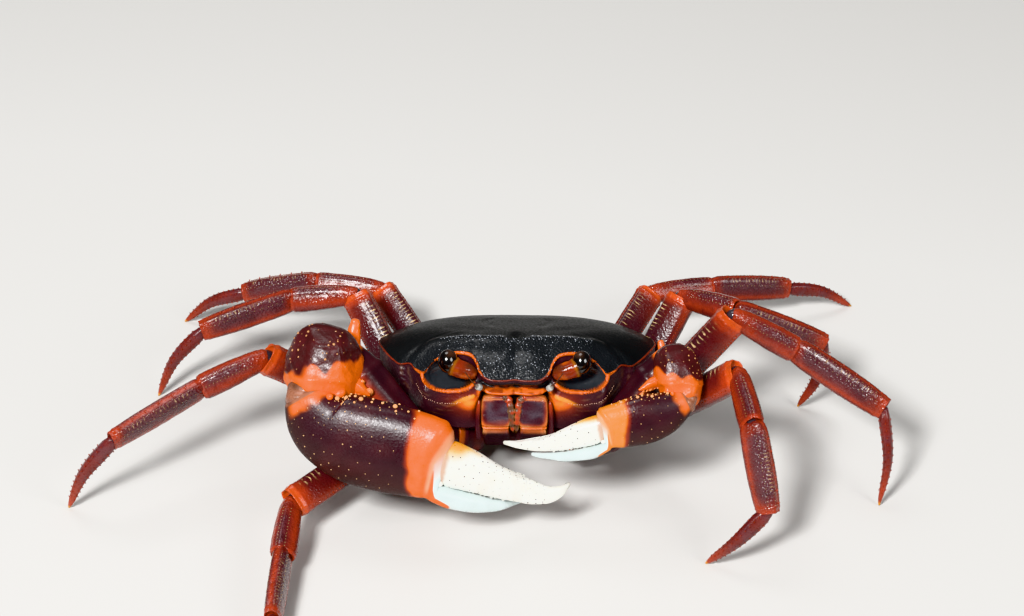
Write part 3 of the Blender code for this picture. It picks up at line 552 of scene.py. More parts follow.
def meronPaint(t, a, grid):
    cloud, fine = fuzz(grid, 2.2, 3), fuzz(grid, 0.8, 13)
    lower = ridges(a, 308, 232, 30)
    far = step(0.50, 1.0, t + 0.10 * cloud)
    paint = coats(
        tint["maroon"],
        (tint["red"], far),
        (tint["plum"] * 1.6, step(0.0, 0.9, cloud + 0.3 * fine) * 0.35),
        (tint["rust"], lower * step(0.45, 0.85, t + 0.1 * cloud) * 0.8),
        (tint["mauve"] * 0.7, ridges(a, 50, 130, 26) * 0.65 * step(0.95, 0.75, t)),
        (tint["rust"], ridge(a, 90, 9) * step(0.25, 0.6, t) * 0.8),
        (tint["rust"] * 1.35, step(0.86, 0.95, t + 0.02 * cloud) * 0.85),
        (tint["ember"], step(0.94, 0.97, t) * 0.7))
    band = ridges(a, 46, 134, 15) * step(0.30, 0.42, t) * step(0.92, 0.84, t)
    return paint, finishOf(grid, 0.31, 0.6 + 0.5 * cloud, band * 0.75)


def carpusRelief(t, a, grid):
    lift = 0.10 * (ridge(a, 62, 8) + ridge(a, 118, 8)) * step(0.12, 0.3, t)
    lift += 0.08 * (ridge(a, 15, 9) + ridge(a, 165, 9)) * step(0.2, 0.4, t)
    lift += 0.02 * bump(0.975, 0.018, t) - 0.04 * bump(0.945, 0.012, t)
    return lift + 0.03 * fuzz(grid, 0.8, 2)


def carpusPaint(t, a, grid):
    cloud, fine = fuzz(grid, 1.8, 5), fuzz(grid, 0.7, 15)
    panel = ridges(a, 42, 138, 34)
    paint = coats(
        tint["red"] * 1.15,
        (tint["rust"], step(-0.3, 0.7, cloud) * 0.45),
        (tint["mauve"], panel * step(0.16, 0.45, t + 0.06 * cloud) * step(0.97, 0.82, t) * 0.8),
        (tint["rust"] * 1.1, ridge(a, 90, 12) * 0.7 + ridges(a, 350, 190, 14) * 0.6),
        (tint["rust"] * 1.2, step(0.93, 0.98, t) * 0.7 + step(0.16, 0.0, t) * 0.7),
        (tint["maroon"], step(0.3, 0.9, fine) * 0.35))
    return paint, finishOf(grid, 0.25, 0.6 + 1.1 * panel)


def propodusPaint(t, a, grid):
    cloud, fine = fuzz(grid, 1.8, 7), fuzz(grid, 0.6, 17)
    panel = np.clip(1.35 * ridges(a, 32, 148, 42), 0, 1)
    nearest = np.where(aroundDistance(a, 0) < 90, 32, 148)
    rounded = step(0.02, 0.10, t - 0.05 * (aroundDistance(a, nearest) / 40) ** 2)
    paint = coats(
        tint["red"] * 1.1,
        (tint["rust"], step(-0.2, 0.7, cloud) * 0.35),
        (tint["mauve"], panel * rounded * step(0.99, 0.74, t + 0.03 * cloud) * 0.9),
        (tint["rust"] * 1.15, np.maximum(ridge(a, 90, 9), ridges(a, 334, 206, 12)) * 0.75),
        (tint["rust"] * 1.15, step(0.86, 0.98, t + 0.02 * cloud) * 0.75),
        (tint["maroon"], step(0.3, 0.9, fine) * 0.3))
    band = ridges(a, 52, 128, 9) * step(0.1, 0.2, t) * step(0.9, 0.8, t)
    return paint, finishOf(grid, 0.26, 0.5 + 1.1 * panel, band * 0.40)


def propodusRelief(t, a, grid):
    lift = 0.07 * (ridge(a, 90, 10) + ridge(a, 270, 10)) - 0.05 * (ridge(a, 68, 7) + ridge(a, 112, 7))
    lift += 0.03 * bump(0.975, 0.018, t) - 0.05 * bump(0.94, 0.012, t)
    return lift + 0.025 * fuzz(grid, 0.7, 4)


def dactylusRelief(t, a, grid):
    keels = sum(ridge(a, target, 10) for target in walkingLeg["spineRows"])
    return 0.05 * keels * step(0.0, 0.12, t) * step(1.0, 0.8, t) + 0.04 * bump(0.05, 0.03, t)


def dactylusPaint(t, a, grid):
    cloud = fuzz(grid, 1.2, 8)
    paint = coats(
        tint["red"] * 1.1,
        (tint["mauve"] * 1.3, step(-0.3, 0.6, cloud) * 0.6 * step(0.8, 0.4, t)),
        (tint["rust"] * 1.15, step(0.45, 0.95, t) * 0.9),
        (tint["amber"] * 0.7, step(0.95, 1.0, t)))
    return paint, finishOf(grid, 0.32, 0.5)


# Beads of one size, sunk a third into a limb piece
def rowOfBeads(name, tube, shares, degrees, size, colour):
    points, out = onTube(tube, shares, degrees)
    return stampCopies(name, fineBeadStamp, points - out * (size * 0.35), out, (size, size, size), colour,
                       gloss=0.25)


# Rows of a limb piece, given in units of a height and a thickness
def girthRows(rows, height, thick):
    return [(t, a * height, b * height, w * thick) for t, a, b, w in rows]


# The direction square to a line that is nearest to rise
def squareTo(along, rise):
    return unit(rise - along * np.dot(along, rise))


# Glossy dark skin in a joint, hidden but for a crescent on its outer side
def kneeSkin(name, centre, before, after, height, thick):
    rise = unit(before - after + 0.01 * up)
    line = [centre - before * height * 0.34, centre + rise * height * 0.02, centre + after * height * 0.22]
    rows = girthRows(((0, .30, .34, .70), (.5, .27, .36, .72), (1, .22, .30, .62)), height, thick)
    return limbTube(name, line, rise, rows, around=24, along=14, endSize=height * 0.15,
                    painter=steady(tint["skin"], 0.14, 0.2))["piece"]


# The way a leg leaves the body, by its degrees from straight ahead and its rise
def outwardWay(front, number):
    turn, lift = [math.radians(v) for v in walkingLeg["ischium"][number][:2]]
    flat = math.cos(lift)
    return np.array([front * math.sin(turn) * flat, -math.cos(turn) * flat, math.sin(lift)])


def makeWalkingLeg(side, number):
    node = "leg_%s%d_" % (side, number)
    name = "leg%s%d" % ("Left" if side == "l" else "Right", number)
    front = 1 if side == "l" else -1
    hip = jointBetween("thorax", node + "merus")
    knee = jointBetween(node + "merus", node + "carpus")
    wrist = jointBetween(node + "carpus", node + "propodus")
    ankle = jointBetween(node + "propodus", node + "dactylus")
    toe = toeOf(node + "dactylus")
    length = walkingLeg["ischium"][number][2]
    corner = hip + length * outwardWay(front, number)
    corner = corner + 0.30 * (hip + (knee - hip) * length / np.linalg.norm(knee - hip) - corner)
    girth = walkingLeg["girth"][number]
    ways = [unit(b - a) for a, b in ((corner, knee), (knee, wrist), (wrist, ankle), (ankle, toe))]
    kneeBend = up * walkingLeg["upright"] + ways[0] - ways[1]
    ankleBend = up * walkingLeg["upright"] + ways[2] - ways[3]

    away = unit((ankle - knee) * (1, 1, 0)) + up * 0.5

    def piece(kind, first, last, size, bend, bow=0.0, **more):
        rise = squareTo(unit(last - first), bend)
        line = [first, (first + last) / 2 + squareTo(unit(last - first), away) * bow, last]
        rows = girthRows(walkingLeg[kind], size[0] / 2, size[1])
        return limbTube(name + kind, line, rise, rows, flip=front, **more)

    height, thick = girth[0]
    along = unit(corner - hip)
    rows = girthRows(((0, .30, .30, .80), (.3, .36, .36, .95), (.8, .38, .36, .98), (1, .34, .32, .90)),
                     height, thick)
    base = limbTube(name + "ischium", [hip + along * 0.2, (hip + corner) / 2, corner + along * 0.4],
                    squareTo(along, squareTo(ways[0], kneeBend) + up), rows, along=24,
                    painter=steady(tint["maroon"], 0.32, 0.8), flip=front)
    merus = piece("merus", corner + ways[0] * 0.35, knee + ways[0] * 0.1, girth[0], kneeBend, around=72,
                  along=150, relief=meronRelief, painter=meronPaint, end=mouthEnd, endSize=1.5,
                  corners=(0.72, 1.05, 0.62))
    low = [rowOfBeads("b", merus, np.linspace(0.12, 0.9, 26), target, 0.13, tint["rust"])
           for target in (232, 308)]
    skin = kneeSkin("s", knee, ways[0], ways[1], girth[1][0], girth[1][1])
    settle([merus["piece"], base["piece"], skin] + low, name + "Merus", legShell, [node + "merus"])

    half = girth[1][0] / 2
    carpus = piece("carpus", knee + ways[1] * half * 0.22, wrist - ways[1] * 0.05, girth[1], kneeBend,
                   around=64, along=90, relief=carpusRelief, painter=carpusPaint, start=ballEnd,
                   startSize=half * 0.66, end=mouthEnd, endSize=0.6, corners=(0.74, 0.80, 0.74))
    dots = [rowOfBeads("d", carpus, np.linspace(0.2, 0.92, 13), target, 0.07, tint["cream"] * 0.45)
            for target in (62, 118, 15, 165)]
    skin = kneeSkin("s", wrist, ways[1], ways[2], girth[2][0] * 0.8, girth[2][1])
    settle([carpus["piece"], skin] + dots, name + "Carpus", legShell, [node + "carpus"])

    half = girth[2][0] / 2
    propodus = piece("propodus", wrist + ways[2] * half * 0.05, ankle + ways[2] * 0.1, girth[2], ankleBend,
                     around=64, along=110, relief=propodusRelief, painter=propodusPaint, start=ballEnd,
                     startSize=half * 0.45, end=mouthEnd, endSize=0.7, corners=(0.66, 0.78, 0.74))
    shares, k = np.linspace(0.10, 0.90, 17), np.arange(17)
    dots = [rowOfBeads("d", propodus, shares + 0.008 * np.sin(k * 2.3 + target), target, 0.06,
                       tint["cream"] * 0.45) for target in (66, 114, 24, 156)]
    shares = np.linspace(0.12, 0.93, 12)
    points, out = onTube(propodus, shares, 270)
    points2, out2 = onTube(propodus, shares[::2] + 0.04, 90)
    points, out = np.concatenate([points, points2]), np.concatenate([out, out2])
    hooks = stampCopies("h", spineStamp, points - out * 0.12, out + ways[2] * 0.8,
                        (0.11, 0.11, 0.42), tint["rust"] * 1.2)
    skin = kneeSkin("s", ankle, ways[2], ways[3], girth[3][0] * 0.9, girth[3][1] * 0.9)
    settle([propodus["piece"], skin, hooks] + dots, name + "Propodus", legShell, [node + "propodus"])

    half = girth[3][0] / 2
    dactylus = piece("dactylus", ankle + ways[3] * half * 0.35, toe - ways[3] * 0.30, girth[3], up, around=48,
                     along=110, relief=dactylusRelief, painter=dactylusPaint, start=ballEnd,
                     startSize=half * 0.9, endSize=0.25, bow=1.0)
    spikes = []
    count = walkingLeg["spinesInRow"]
    for k, target in enumerate(walkingLeg["spineRows"]):
        shares = 0.08 + 0.82 * (np.arange(count) + 0.5 * (k % 2)) / count
        points, out = onTube(dactylus, shares, target)
        reach = 0.50 - 0.22 * shares
        spikes.append(stampCopies("k", spineStamp, points - out * 0.06, out + ways[3] * 1.1,
                                  roundSizes(0.10 + 0 * reach, reach), tint["rust"] * 0.9))
    settle([dactylus["piece"]] + spikes, name + "Dactylus", legShell, [node + "dactylus"])


for sideMark in ("l", "r"):
    for legNumber in (2, 3, 4, 5):
        makeWalkingLeg(sideMark, legNumber)
print("walking legs ready")

# Carapace, worked out in the body frame: x to a side, f forward, z up
carapaceShape = {
    # margin (x, f, z), lower edge (x, f, z), share of the front's and of the orbit's kind of wall
    "margin": ((0.0, 15.5, -2.0, 0.0, 12.0, -9.2, 1, 0), (1.8, 15.9, -2.1, 1.7, 12.0, -9.2, 1, 0),
               (3.8, 15.7, -1.9, 3.5, 12.0, -9.2, 1, 0), (4.8, 14.9, -1.2, 4.4, 12.0, -9.3, 1, 0),
               (5.3, 13.8, -0.1, 5.1, 12.0, -9.5, .5, .5), (6.3, 12.6, 0.9, 6.1, 12.0, -9.8, 0, 1),
               (8.1, 12.1, 1.15, 7.6, 11.5, -10.0, 0, 1), (9.5, 11.9, 0.95, 8.8, 11.0, -10.0, 0, 1),
               (10.8, 12.05, 0.35, 9.7, 10.5, -9.9, 0, 1), (11.9, 12.45, -0.55, 10.3, 10.0, -9.7, 0, 1),
               (13.0, 12.8, -1.75, 10.9, 9.6, -9.6, 0, 1), (14.1, 11.8, -1.5, 11.6, 8.8, -9.4, 0, .5),
               (15.1, 10.7, -0.8, 12.1, 8.0, -9.3, 0, 0), (15.85, 10.1, -1.0, 12.5, 7.4, -9.2, 0, 0),
               (16.7, 9.9, -1.05, 12.8, 6.9, -9.1, 0, 0), (17.3, 9.1, -0.85, 13.0, 6.3, -9.0, 0, 0),
               (18.0, 8.1, -0.5, 13.3, 5.3, -8.9, 0, 0), (19.2, 5.6, 0.15, 13.6, 3.4, -8.6, 0, 0),
               (20.0, 2.8, 0.5, 13.7, 1.6, -8.4, 0, 0), (19.9, 0.4, 0.6, 13.6, -0.4, -8.1, 0, 0),
               (19.2, -2.6, 0.6, 13.3, -2.6, -7.6, 0, 0), (17.3, -7.6, 0.35, 11.9, -7.0, -6.5, 0, 0),
               (13.2, -13.2, -0.4, 9.5, -11.7, -5.0, 0, 0), (9.8, -15.2, -0.75, 7.6, -13.6, -4.3, 0, 0),
               (5.0, -16.1, -0.95, 4.0, -14.8, -3.6, 0, 0), (0.0, -16.3, -1.0, 0.0, -15.0, -3.5, 0, 0)),
    "sideWall": ((0, 0), (.10, 0), (.30, .02), (.52, .07), (.72, .17), (.88, .45), (1, 1)),
    "orbitWall": ((0, 0), (.10, 0), (.30, .04), (.52, .15), (.72, .40), (.88, .75), (1, 1)),
    "frontWall": ((0, 0), (.05, .01), (.10, .10), (.135, .46), (.20, .56), (.26, .40), (.31, .33),
                  (.345, .42), (.375, .90), (.50, 1), (1, 1)),
    "centre": (0.0, -1.0), "top": 3.1, "columns": 420, "domeRows": 92, "wallRows": 84, "floorRows": 10,
    "orbit": ((9.2, 13.6, -1.75), (3.9, 3.0, 2.5)), "cheek": 1.55,
    "throatLine": ((5.5, 14.1, -4.7), (7.2, 13.6, -5.3), (9.2, 13.0, -6.3), (11.6, 11.8, -8.1)),
    "granuleRow": ((14.0, 11.7, -3.5), (13.4, 12.0, -4.4), (12.4, 12.3, -5.3), (10.9, 12.7, -5.95),
                   (9.2, 13.1, -6.1), (7.8, 13.4, -5.8)),
}


# Distance to a line, and how far along it the nearest point lies
def lineDistance(points, path):
    path = np.array(path, float)
    best = np.full(points.shape[:-1], 1e9)
    where = np.zeros(points.shape[:-1])
    for k, (a, b) in enumerate(zip(path[:-1], path[1:])):
        ab = b - a
        s = np.clip(((points - a) @ ab) / (ab @ ab), 0, 1)
        gap = np.linalg.norm(points - a - s[..., None] * ab, axis=-1)
        nearer = gap < best
        best = np.where(nearer, gap, best)
        where = np.where(nearer, (k + s) / (len(path) - 1), where)
    return best, where


def domeHeight(x, f, share, z):
    shape = carapaceShape
    power = 4.5 + 1.5 * np.maximum(0.0, f / 16.0)
    top = shape["top"] - 0.9 * np.maximum(0.0, -(f + 4.0) / 12.0)
    height = z + (top - z) * (1.0 - share ** power)
    side = np.abs(x)
    brow = step(1.0, 2.6, side) * step(14.5, 11.0, side)
    height += 0.42 * brow * bump(9.9 - 0.10 * side, 1.0, f)
    height -= 0.30 * bump(0.0, 0.7, x) * step(5.5, 8.5, f) * step(13.5, 10.0, f)
    height -= 0.07 * bump(5.6 - 0.45 * (side - 4.0), 1.6, f) * step(2.0, 5.0, side) * step(13.0, 8.0, side)
    curl = bump(3.6 + 0.9 * bump(-1.0, 2.4, f), 0.75, side) * step(-5.0, -2.2, f) * step(3.6, 1.2, f)
    height -= 0.12 * curl
    return height


def wallProfile(knots, level):
    knots = np.array(knots, float)
    return smooth(np.linspace(0, 1, len(knots)), knots, level)


def makeCarapace():
    shape = carapaceShape
    half = np.array(shape["margin"], float)
    other = half[-2:0:-1] * np.array([-1, 1, 1, -1, 1, 1, 1, 1])
    loop = np.concatenate([half, other, half[:1]])
    run = np.concatenate([[0], np.cumsum(np.linalg.norm(np.diff(loop[:, :3], axis=0), axis=1))])
    front = np.interp(np.linspace(0, 1, 2000), run / run[-1], np.abs(loop[:, 6]) + np.abs(loop[:, 7]))
    weight = np.cumsum(1.0 + 1.2 * front)
    share = np.interp(np.linspace(0, 1, shape["columns"], endpoint=False), weight / weight[-1],
                      np.linspace(0, 1, 2000))
    edge = smooth(run, loop, share * run[-1])
    centre = np.array(shape["centre"])
    rows = []
    for s in np.sin(np.linspace(0, math.pi / 2, shape["domeRows"])):
        flat = centre + (edge[:, :2] - centre) * s
        rows.append(np.stack([flat[:, 0], flat[:, 1], domeHeight(flat[:, 0], flat[:, 1], s, edge[:, 2])], 1))
    for level in np.linspace(0, 1, shape["wallRows"] + 1)[1:]:
        level = np.array([level])
        side, orbit, brow = [wallProfile(shape[key], level) for key in ("sideWall", "orbitWall", "frontWall")]
        mix = side * (1 - edge[:, 6:7] - edge[:, 7:8]) + orbit * edge[:, 7:8] + brow * edge[:, 6:7]
        down, inwards = mix[:, 0], mix[:, 1]
        rows.append(np.stack([edge[:, 0] + (edge[:, 3] - edge[:, 0]) * inwards,
                              edge[:, 1] + (edge[:, 4] - edge[:, 1]) * inwards,
                              edge[:, 2] + (edge[:, 5] - edge[:, 2]) * down], 1))
    for s in np.linspace(1, 0, shape["floorRows"] + 1)[1:]:
        rows.append(np.stack([edge[:, 3] * s, -1 + (edge[:, 4] + 1) * s, edge[:, 5] * s - 6.6 * (1 - s)], 1))
    grid = np.array(rows)
    brim = shape["domeRows"] - 1
    row = np.arange(len(grid))[:, None]
    ledge = (np.arange(len(grid)) - brim) / shape["wallRows"]
    wave = np.cos(grid[..., 0] * 2 * math.pi / 3.3) * step(5.0, 4.2, np.abs(grid[..., 0]))
    grid[..., 2] += 0.26 * wave * bump(0.335, 0.055, ledge)[:, None] * edge[None, :, 6]
    side = np.abs(grid[..., 0])
    belly = step(4.6, 6.6, side) * step(15.2, 12.4, side) * (row > brim)
    fall = step(-1.2, -4.3, grid[..., 2]) * step(-10.0, -5.4, grid[..., 2])
    grid[..., 1] += shape["cheek"] * belly * fall * step(8.0, 10.0, grid[..., 1])
    (ox, of, oz), (rx, rf, rz) = shape["orbit"]
    sided = grid.copy()
    sided[..., 0] = np.abs(sided[..., 0])
    plane = ((sided[..., 0] - ox) / rx) ** 2 + ((sided[..., 2] - oz) / rz) ** 2
    hollow = (plane < 1) & (sided[..., 1] > 9.0) & (row > brim - 12)
    back = of - rf * np.sqrt(np.maximum(0, 1 - plane))
    depth = np.where(hollow, np.maximum(0, sided[..., 1] - back), 0)
    grid[..., 1] -= depth
    sided = grid.copy()
    sided[..., 0] = np.abs(sided[..., 0])
    out = normalsOf(grid)
    out = out * np.sign(np.sum(out * (grid - (0, 0, -4.0)), axis=-1, keepdims=True) + 1e-9)

    gap = np.linalg.norm(grid - grid[brim][None], axis=-1)
    browPart = np.clip(edge[:, 6] + edge[:, 7], 0, 1)[None]
    sidePart = (1 - browPart) * step(-3.0, 1.0, edge[:, 1])[None]
    beads = 0.5 + 0.5 * np.sin(share * run[-1] * 2 * math.pi / 0.55)[None]
    brow = bump(0, 0.24 - 0.13 * step(5.0, 3.5, np.abs(edge[:, 0]))[None], gap) * browPart
    lash = bump(0, 0.12, gap) * sidePart
    ring = np.sqrt(plane) - 1
    sill = bump(0.03, 0.06, ring) * step(-1.5, -2.2, sided[..., 2]) * step(10.3, 10.8, sided[..., 1])
    sill = sill * step(5.3, 6.1, sided[..., 0])
    throat, throatAt = lineDistance(sided, shape["throatLine"])
    welt = bump(0, 0.34, throat) * step(1.0, 0.7, throatAt)
    lift = 0.20 * brow + (0.10 + 0.14 * beads) * lash + 0.24 * sill + 0.14 * welt
    slanted = sided[..., 2] * 0.8 + sided[..., 1] * 0.9
    striae = np.sin(slanted * 2 * math.pi / 0.62 + 2.0 * fuzz(grid, 2.0, 8))
    striae = striae * step(12.2, 10.0, sided[..., 1]) * (row > brim + 4)
    lift += 0.05 * striae
    rough = np.where(row > brim - 4, 1.0, 0.15 + 0.85 * step(8.5, 10.5, grid[..., 1]))
    lift += (0.05 * fuzz(grid, 1.6, 2) + 0.02 * fuzz(grid, 0.6, 3)) * rough
    grid = grid + out * lift[..., None]

    x, f, z = sided[..., 0], sided[..., 1], sided[..., 2]
    cloud, fine = fuzz(grid, 3.0, 5), fuzz(grid, 1.0, 6)
    onBack = (row <= brim) & np.ones_like(gap, bool)
    wall = ~onBack
    arcs = np.hypot((x - ox) * 0.75, z - oz)
    hatch = step(0.30, 0.95, np.sin(arcs * 2 * math.pi / 0.85 + 2.5 * fuzz(grid, 3.0, 21)))
    hatch = hatch * step(-0.2, 0.5, fuzz(grid, 1.2, 22)) * step(7.5, 9.5, x) * step(0.15, 0.5, ring)
    glow = np.exp(-(((x - 6.5) / 2.6) ** 2 + ((z + 5.8) / 1.7) ** 2)) * step(10.0, 12.0, f) * wall
    glow = glow * step(-0.35, 0.25, z + 4.2 + 0.55 * (x - 5.6) < 0)
    lip = wall * step(5.6, 5.0, x) * step(12.2, 12.8, f)
    band = lip * step(-5.2, -4.9, z) * step(-3.35, -3.85, z + 0.30 * fuzz(grid, 0.7, 12))
    middleBrow = step(4.9, 4.3, x)
    paint = coats(
        tint["plum"] * 1.3,
        (tint["shell"], onBack),
        (tint["slate"], onBack * step(8.0, 11.0, f + 0.5 * cloud) * 0.75),
        (tint["maroon"] * 0.9, wall * step(-0.3, 0.8, cloud) * 0.7),
        (tint["dusk"], wall * step(0.3, 1.0, striae) * 0.6),
        (tint["shade"], wall * 0.35),
        (tint["streak"], wall * hatch * 0.55),
        (tint["rust"], glow * 1.2),
        (tint["orange"], step(0.40, 0.85, glow + 0.12 * cloud)),
        (tint["amber"], step(0.85, 1.05, glow + 0.1 * fine) * 0.6),
        (tint["slate"] * 0.9, lip * step(-2.35, -2.6, z) * step(-4.2, -3.6, z)),
        (tint["rust"] * 0.6, lip * step(-2.6, -3.3, z) * step(0.0, 0.6, fuzz(grid, 0.7, 9)) * 0.8),
        (tint["orange"], band),
        (tint["red"], band * step(0.05, 0.5, fuzz(grid, 0.55, 11)) * 0.75),
        (tint["chalk"], lip * bump(-4.95, 0.07, z) * 0.5),
        (tint["umber"] * 0.7, wall * step(5.2, 4.6, x) * step(12.9, 12.5, f)),
        (tint["slate"] * 2.4, hollow * step(0.0, 0.10, depth)),
        # painted shade: umber darkens the deeper inner corner of the eye socket, where the eyestalk goes in
        (tint["umber"] * 1.2, hollow * step(0.05, 0.3, depth) * step(7.2, 6.2, x + 0.4 * z + 1.0)),
        (tint["rust"] * 0.6 + 0.02, step(0.5, 0.85, brow) * middleBrow),
        (tint["orange"], step(0.25, 0.6, brow) * (1 - middleBrow)),
        (tint["orange"], step(0.25, 0.6, sill)),
        (tint["amber"], step(0.35, 0.7, welt) * step(0.75, 0.2, throatAt) * 0.8),
        (tint["rust"] * 0.9, step(0.45, 0.8, lash) * 0.75))
    front = step(7.5, 10.5, f + 0.4 * cloud)
    socket = hollow & (depth > 0.05)
    wallGloss = 0.42 + 0.16 * step(-4.0, -8.0, z) * step(10, 12, f) + 0.12 * step(11, 8, f)
    gloss = np.where(socket, 0.12, np.where(onBack, 0.50 - 0.16 * front, wallGloss))
    finish = finishOf(grid, gloss, np.where(socket, 0.1, np.where(onBack, 0.35 + 1.1 * front, 0.8)))
    shell = makeSheet("carapace", inBody(grid), paint, finish)
    return shell, grid, out


# Directions of the body frame turned into the floor's
def bodyOut(points):
    return unit(inBody(points) - inBody(np.zeros(3)))


bodyShell = shellMaterial("bodyShell", scale=3200.0, blotch=0.20, relief=0.00005, coat=0.45, specular=0.3)
carapaceSheet, carapaceGrid, carapaceNormals = makeCarapace()
granuleLine = np.array(carapaceShape["granuleRow"], float)
granules = []
flatGrid, flatOut = carapaceGrid.reshape(-1, 3), carapaceNormals.reshape(-1, 3)
reach = np.array([1.0, 0.08, 1.0])    # how much each way counts in the nearest point
spots = smooth(np.linspace(0, 1, len(granuleLine)), granuleLine, np.linspace(0, 1, 25))
for side in (1, -1):
    found = [int(np.argmin(np.sum(((flatGrid - spot) * reach) ** 2, axis=1)))
             for spot in spots * (side, 1, 1)]
    granules.append(stampCopies("granules", fineBeadStamp, inBody(flatGrid[found]),
                                bodyOut(flatOut[found]), (0.09, 0.09, 0.09), tint["granule"]))
k = np.arange(2400)
domeCells = carapaceShape["domeRows"] * carapaceShape["columns"]
spots = ((k * scatter["share"] % 1.0) * 22.0 - 11.0, 8.2 + (k * scatter["turn"] % 1.0) * 7.4)
flatGrid, flatOut = flatGrid[:domeCells], flatOut[:domeCells]
found = np.array([int(np.argmin((flatGrid[:, 0] - a) ** 2 + (flatGrid[:, 1] - b) ** 2))
                  for a, b in zip(*spots)])
miss = np.hypot(flatGrid[found, 0] - spots[0], flatGrid[found, 1] - spots[1])
thick = bump(9.9, 0.7, spots[1] + 0.1 * np.abs(spots[0])) + step(12.0, 14.5, spots[1]) + 0.22
found = np.unique(found[(miss < 0.25) & (((k * scatter["pick"]) % 1.0) < thick)])
grow = 0.05 + 0.055 * ((np.arange(len(found)) * scatter["size"]) % 1)
shine = step(0.62, 0.9, (np.arange(len(found)) * scatter["tone"]) % 1.0)
granules.append(stampCopies("grit", fineBeadStamp, inBody(flatGrid[found]), bodyOut(flatOut[found]),
                            roundSizes(grow, grow * 0.9), blend(tint["slate"] * 1.8, tint["glint"], shine),
                            gloss=0.15))
settle([carapaceSheet] + granules, "carapaceShell", bodyShell, ["carapace"])
print("carapace ready")


# Eyes and antennae
eyeShape = {"centre": (9.5, 13.4, 0.12), "radii": (1.45, 1.45, 1.72),
            "stalk": ((5.9, 13.3, -1.5), (6.9, 13.55, -1.15), (7.9, 13.6, -0.85), (8.8, 13.45, -0.5)),
            "antenna": ((4.9, 15.1, -3.3), (5.3, 15.8, -2.9), (6.0, 16.6, -2.0), (6.9, 17.2, -0.6))}


def makeEye(side, mark):
    centre, radii = np.array(eyeShape["centre"]), np.array(eyeShape["radii"])
    turn = np.linspace(0, 2 * math.pi, 56, endpoint=False)[None]
    drop = np.linspace(0, math.pi, 40)[:, None]
    ball = np.stack([np.cos(turn) * np.sin(drop), np.sin(turn) * np.sin(drop), np.cos(drop) + 0 * turn], -1)
    grid = centre + ball * radii
    cap = step(0.35, 0.8, ball[..., 2]) * step(0.4, -0.3, ball[..., 0])
    paint = blend(tint["black"], tint["umber"] * 1.3, cap)
    finish = finishOf(grid, 0.08, 0.0)
    finish[..., 0] += 0.22 * cap
    ballSheet = makeSheet("cornea", inBody(grid, side), paint, finish)
    settle([ballSheet], "cornea" + mark, corneaFinish, ["eye_" + mark[0].lower()])
    stalk = inBody(eyeShape["stalk"], side)
    rows = ((0, .9, .9, 1.7), (.3, 1.15, 1.15, 2.3), (.7, 1.2, 1.25, 2.4), (1, 1.38, 1.42, 2.6))

    def painter(share, angle, grid):
        cloud = fuzz(grid, 0.8, 2)
        paint = coats(
            tint["rust"] * 0.7,
            (tint["orange"] * 0.6, step(-0.1, 0.6, cloud) * 0.8),
            # painted shade: umber darkens the top of the stalk near its base, deep in the orbit
            (tint["umber"] * 1.3, step(0.55, 0.2, share + 0.2 * cloud) * ridge(angle, 90, 70) * 0.8),
            (tint["amber"] * 0.30, step(0.78, 0.90, share) * 0.6))
        return blend(paint, tint["umber"], step(0.90, 1.0, share) * 0.9), finishOf(grid, 0.22, 0.3)

    tube = limbTube("stalk", stalk, up, rows, around=40, along=40, painter=painter,
                    relief=uneven(0.05, 0.6))
    settle([tube["piece"]], "eyestalk" + mark, bodyShell, ["eyestalk_" + mark[0].lower()])
    path = inBody(eyeShape["antenna"], side)
    rows = ((0, .48, .48, .9), (.24, .44, .44, .8), (.30, .26, .26, .5), (.42, .22, .22, .42),
            (.46, .12, .12, .24), (1, .06, .06, .12))

    def whipPainter(t, a, g):
        paint = blend(tint["ivory"] * 0.45, tint["umber"] * 2, step(0.22, 0.5, t + 0.1 * fuzz(g, 0.5, 2)))
        return paint, finishOf(g, 0.2, 0.2)

    whip = limbTube("whip", path, up, rows, around=16, along=70, endSize=0.1,
                    painter=whipPainter, relief=lambda t, a, g: 0.012 * np.sin(t * 2 * math.pi * 24))
    settle([whip["piece"]], "antenna" + mark, bodyShell, ["antenna_" + mark[0].lower()])


corneaFinish = shellMaterial("corneaFinish", scale=6000.0, blotch=0.1, relief=0.00001, coat=1.0)
makeEye(1, "Left")
makeEye(-1, "Right")
print("eyes ready")


# Mouth
mouthShape = {
    "middle": 2.68, "thick": 1.3,
    # f, z and half width down the two large plates
    "plate": ((13.85, -4.85, 1.80), (13.8, -5.5, 1.98), (13.7, -6.9, 2.06), (13.55, -8.5, 2.02),
              (13.3, -9.15, 1.82), (12.95, -9.7, 1.85), (12.2, -10.4, 1.98), (11.3, -11.1, 1.92),
              (9.6, -12.3, 1.8)),
    "palp": ((1.5, 14.2, -4.8), (0.80, 14.35, -5.3), (0.52, 14.35, -6.6), (0.40, 14.1, -8.2),
             (0.26, 13.5, -9.8)),
    "outerBranch": ((5.15, 12.9, -11.0), (5.25, 13.35, -9.3), (5.2, 13.75, -7.3), (5.05, 13.9, -5.5)),
}


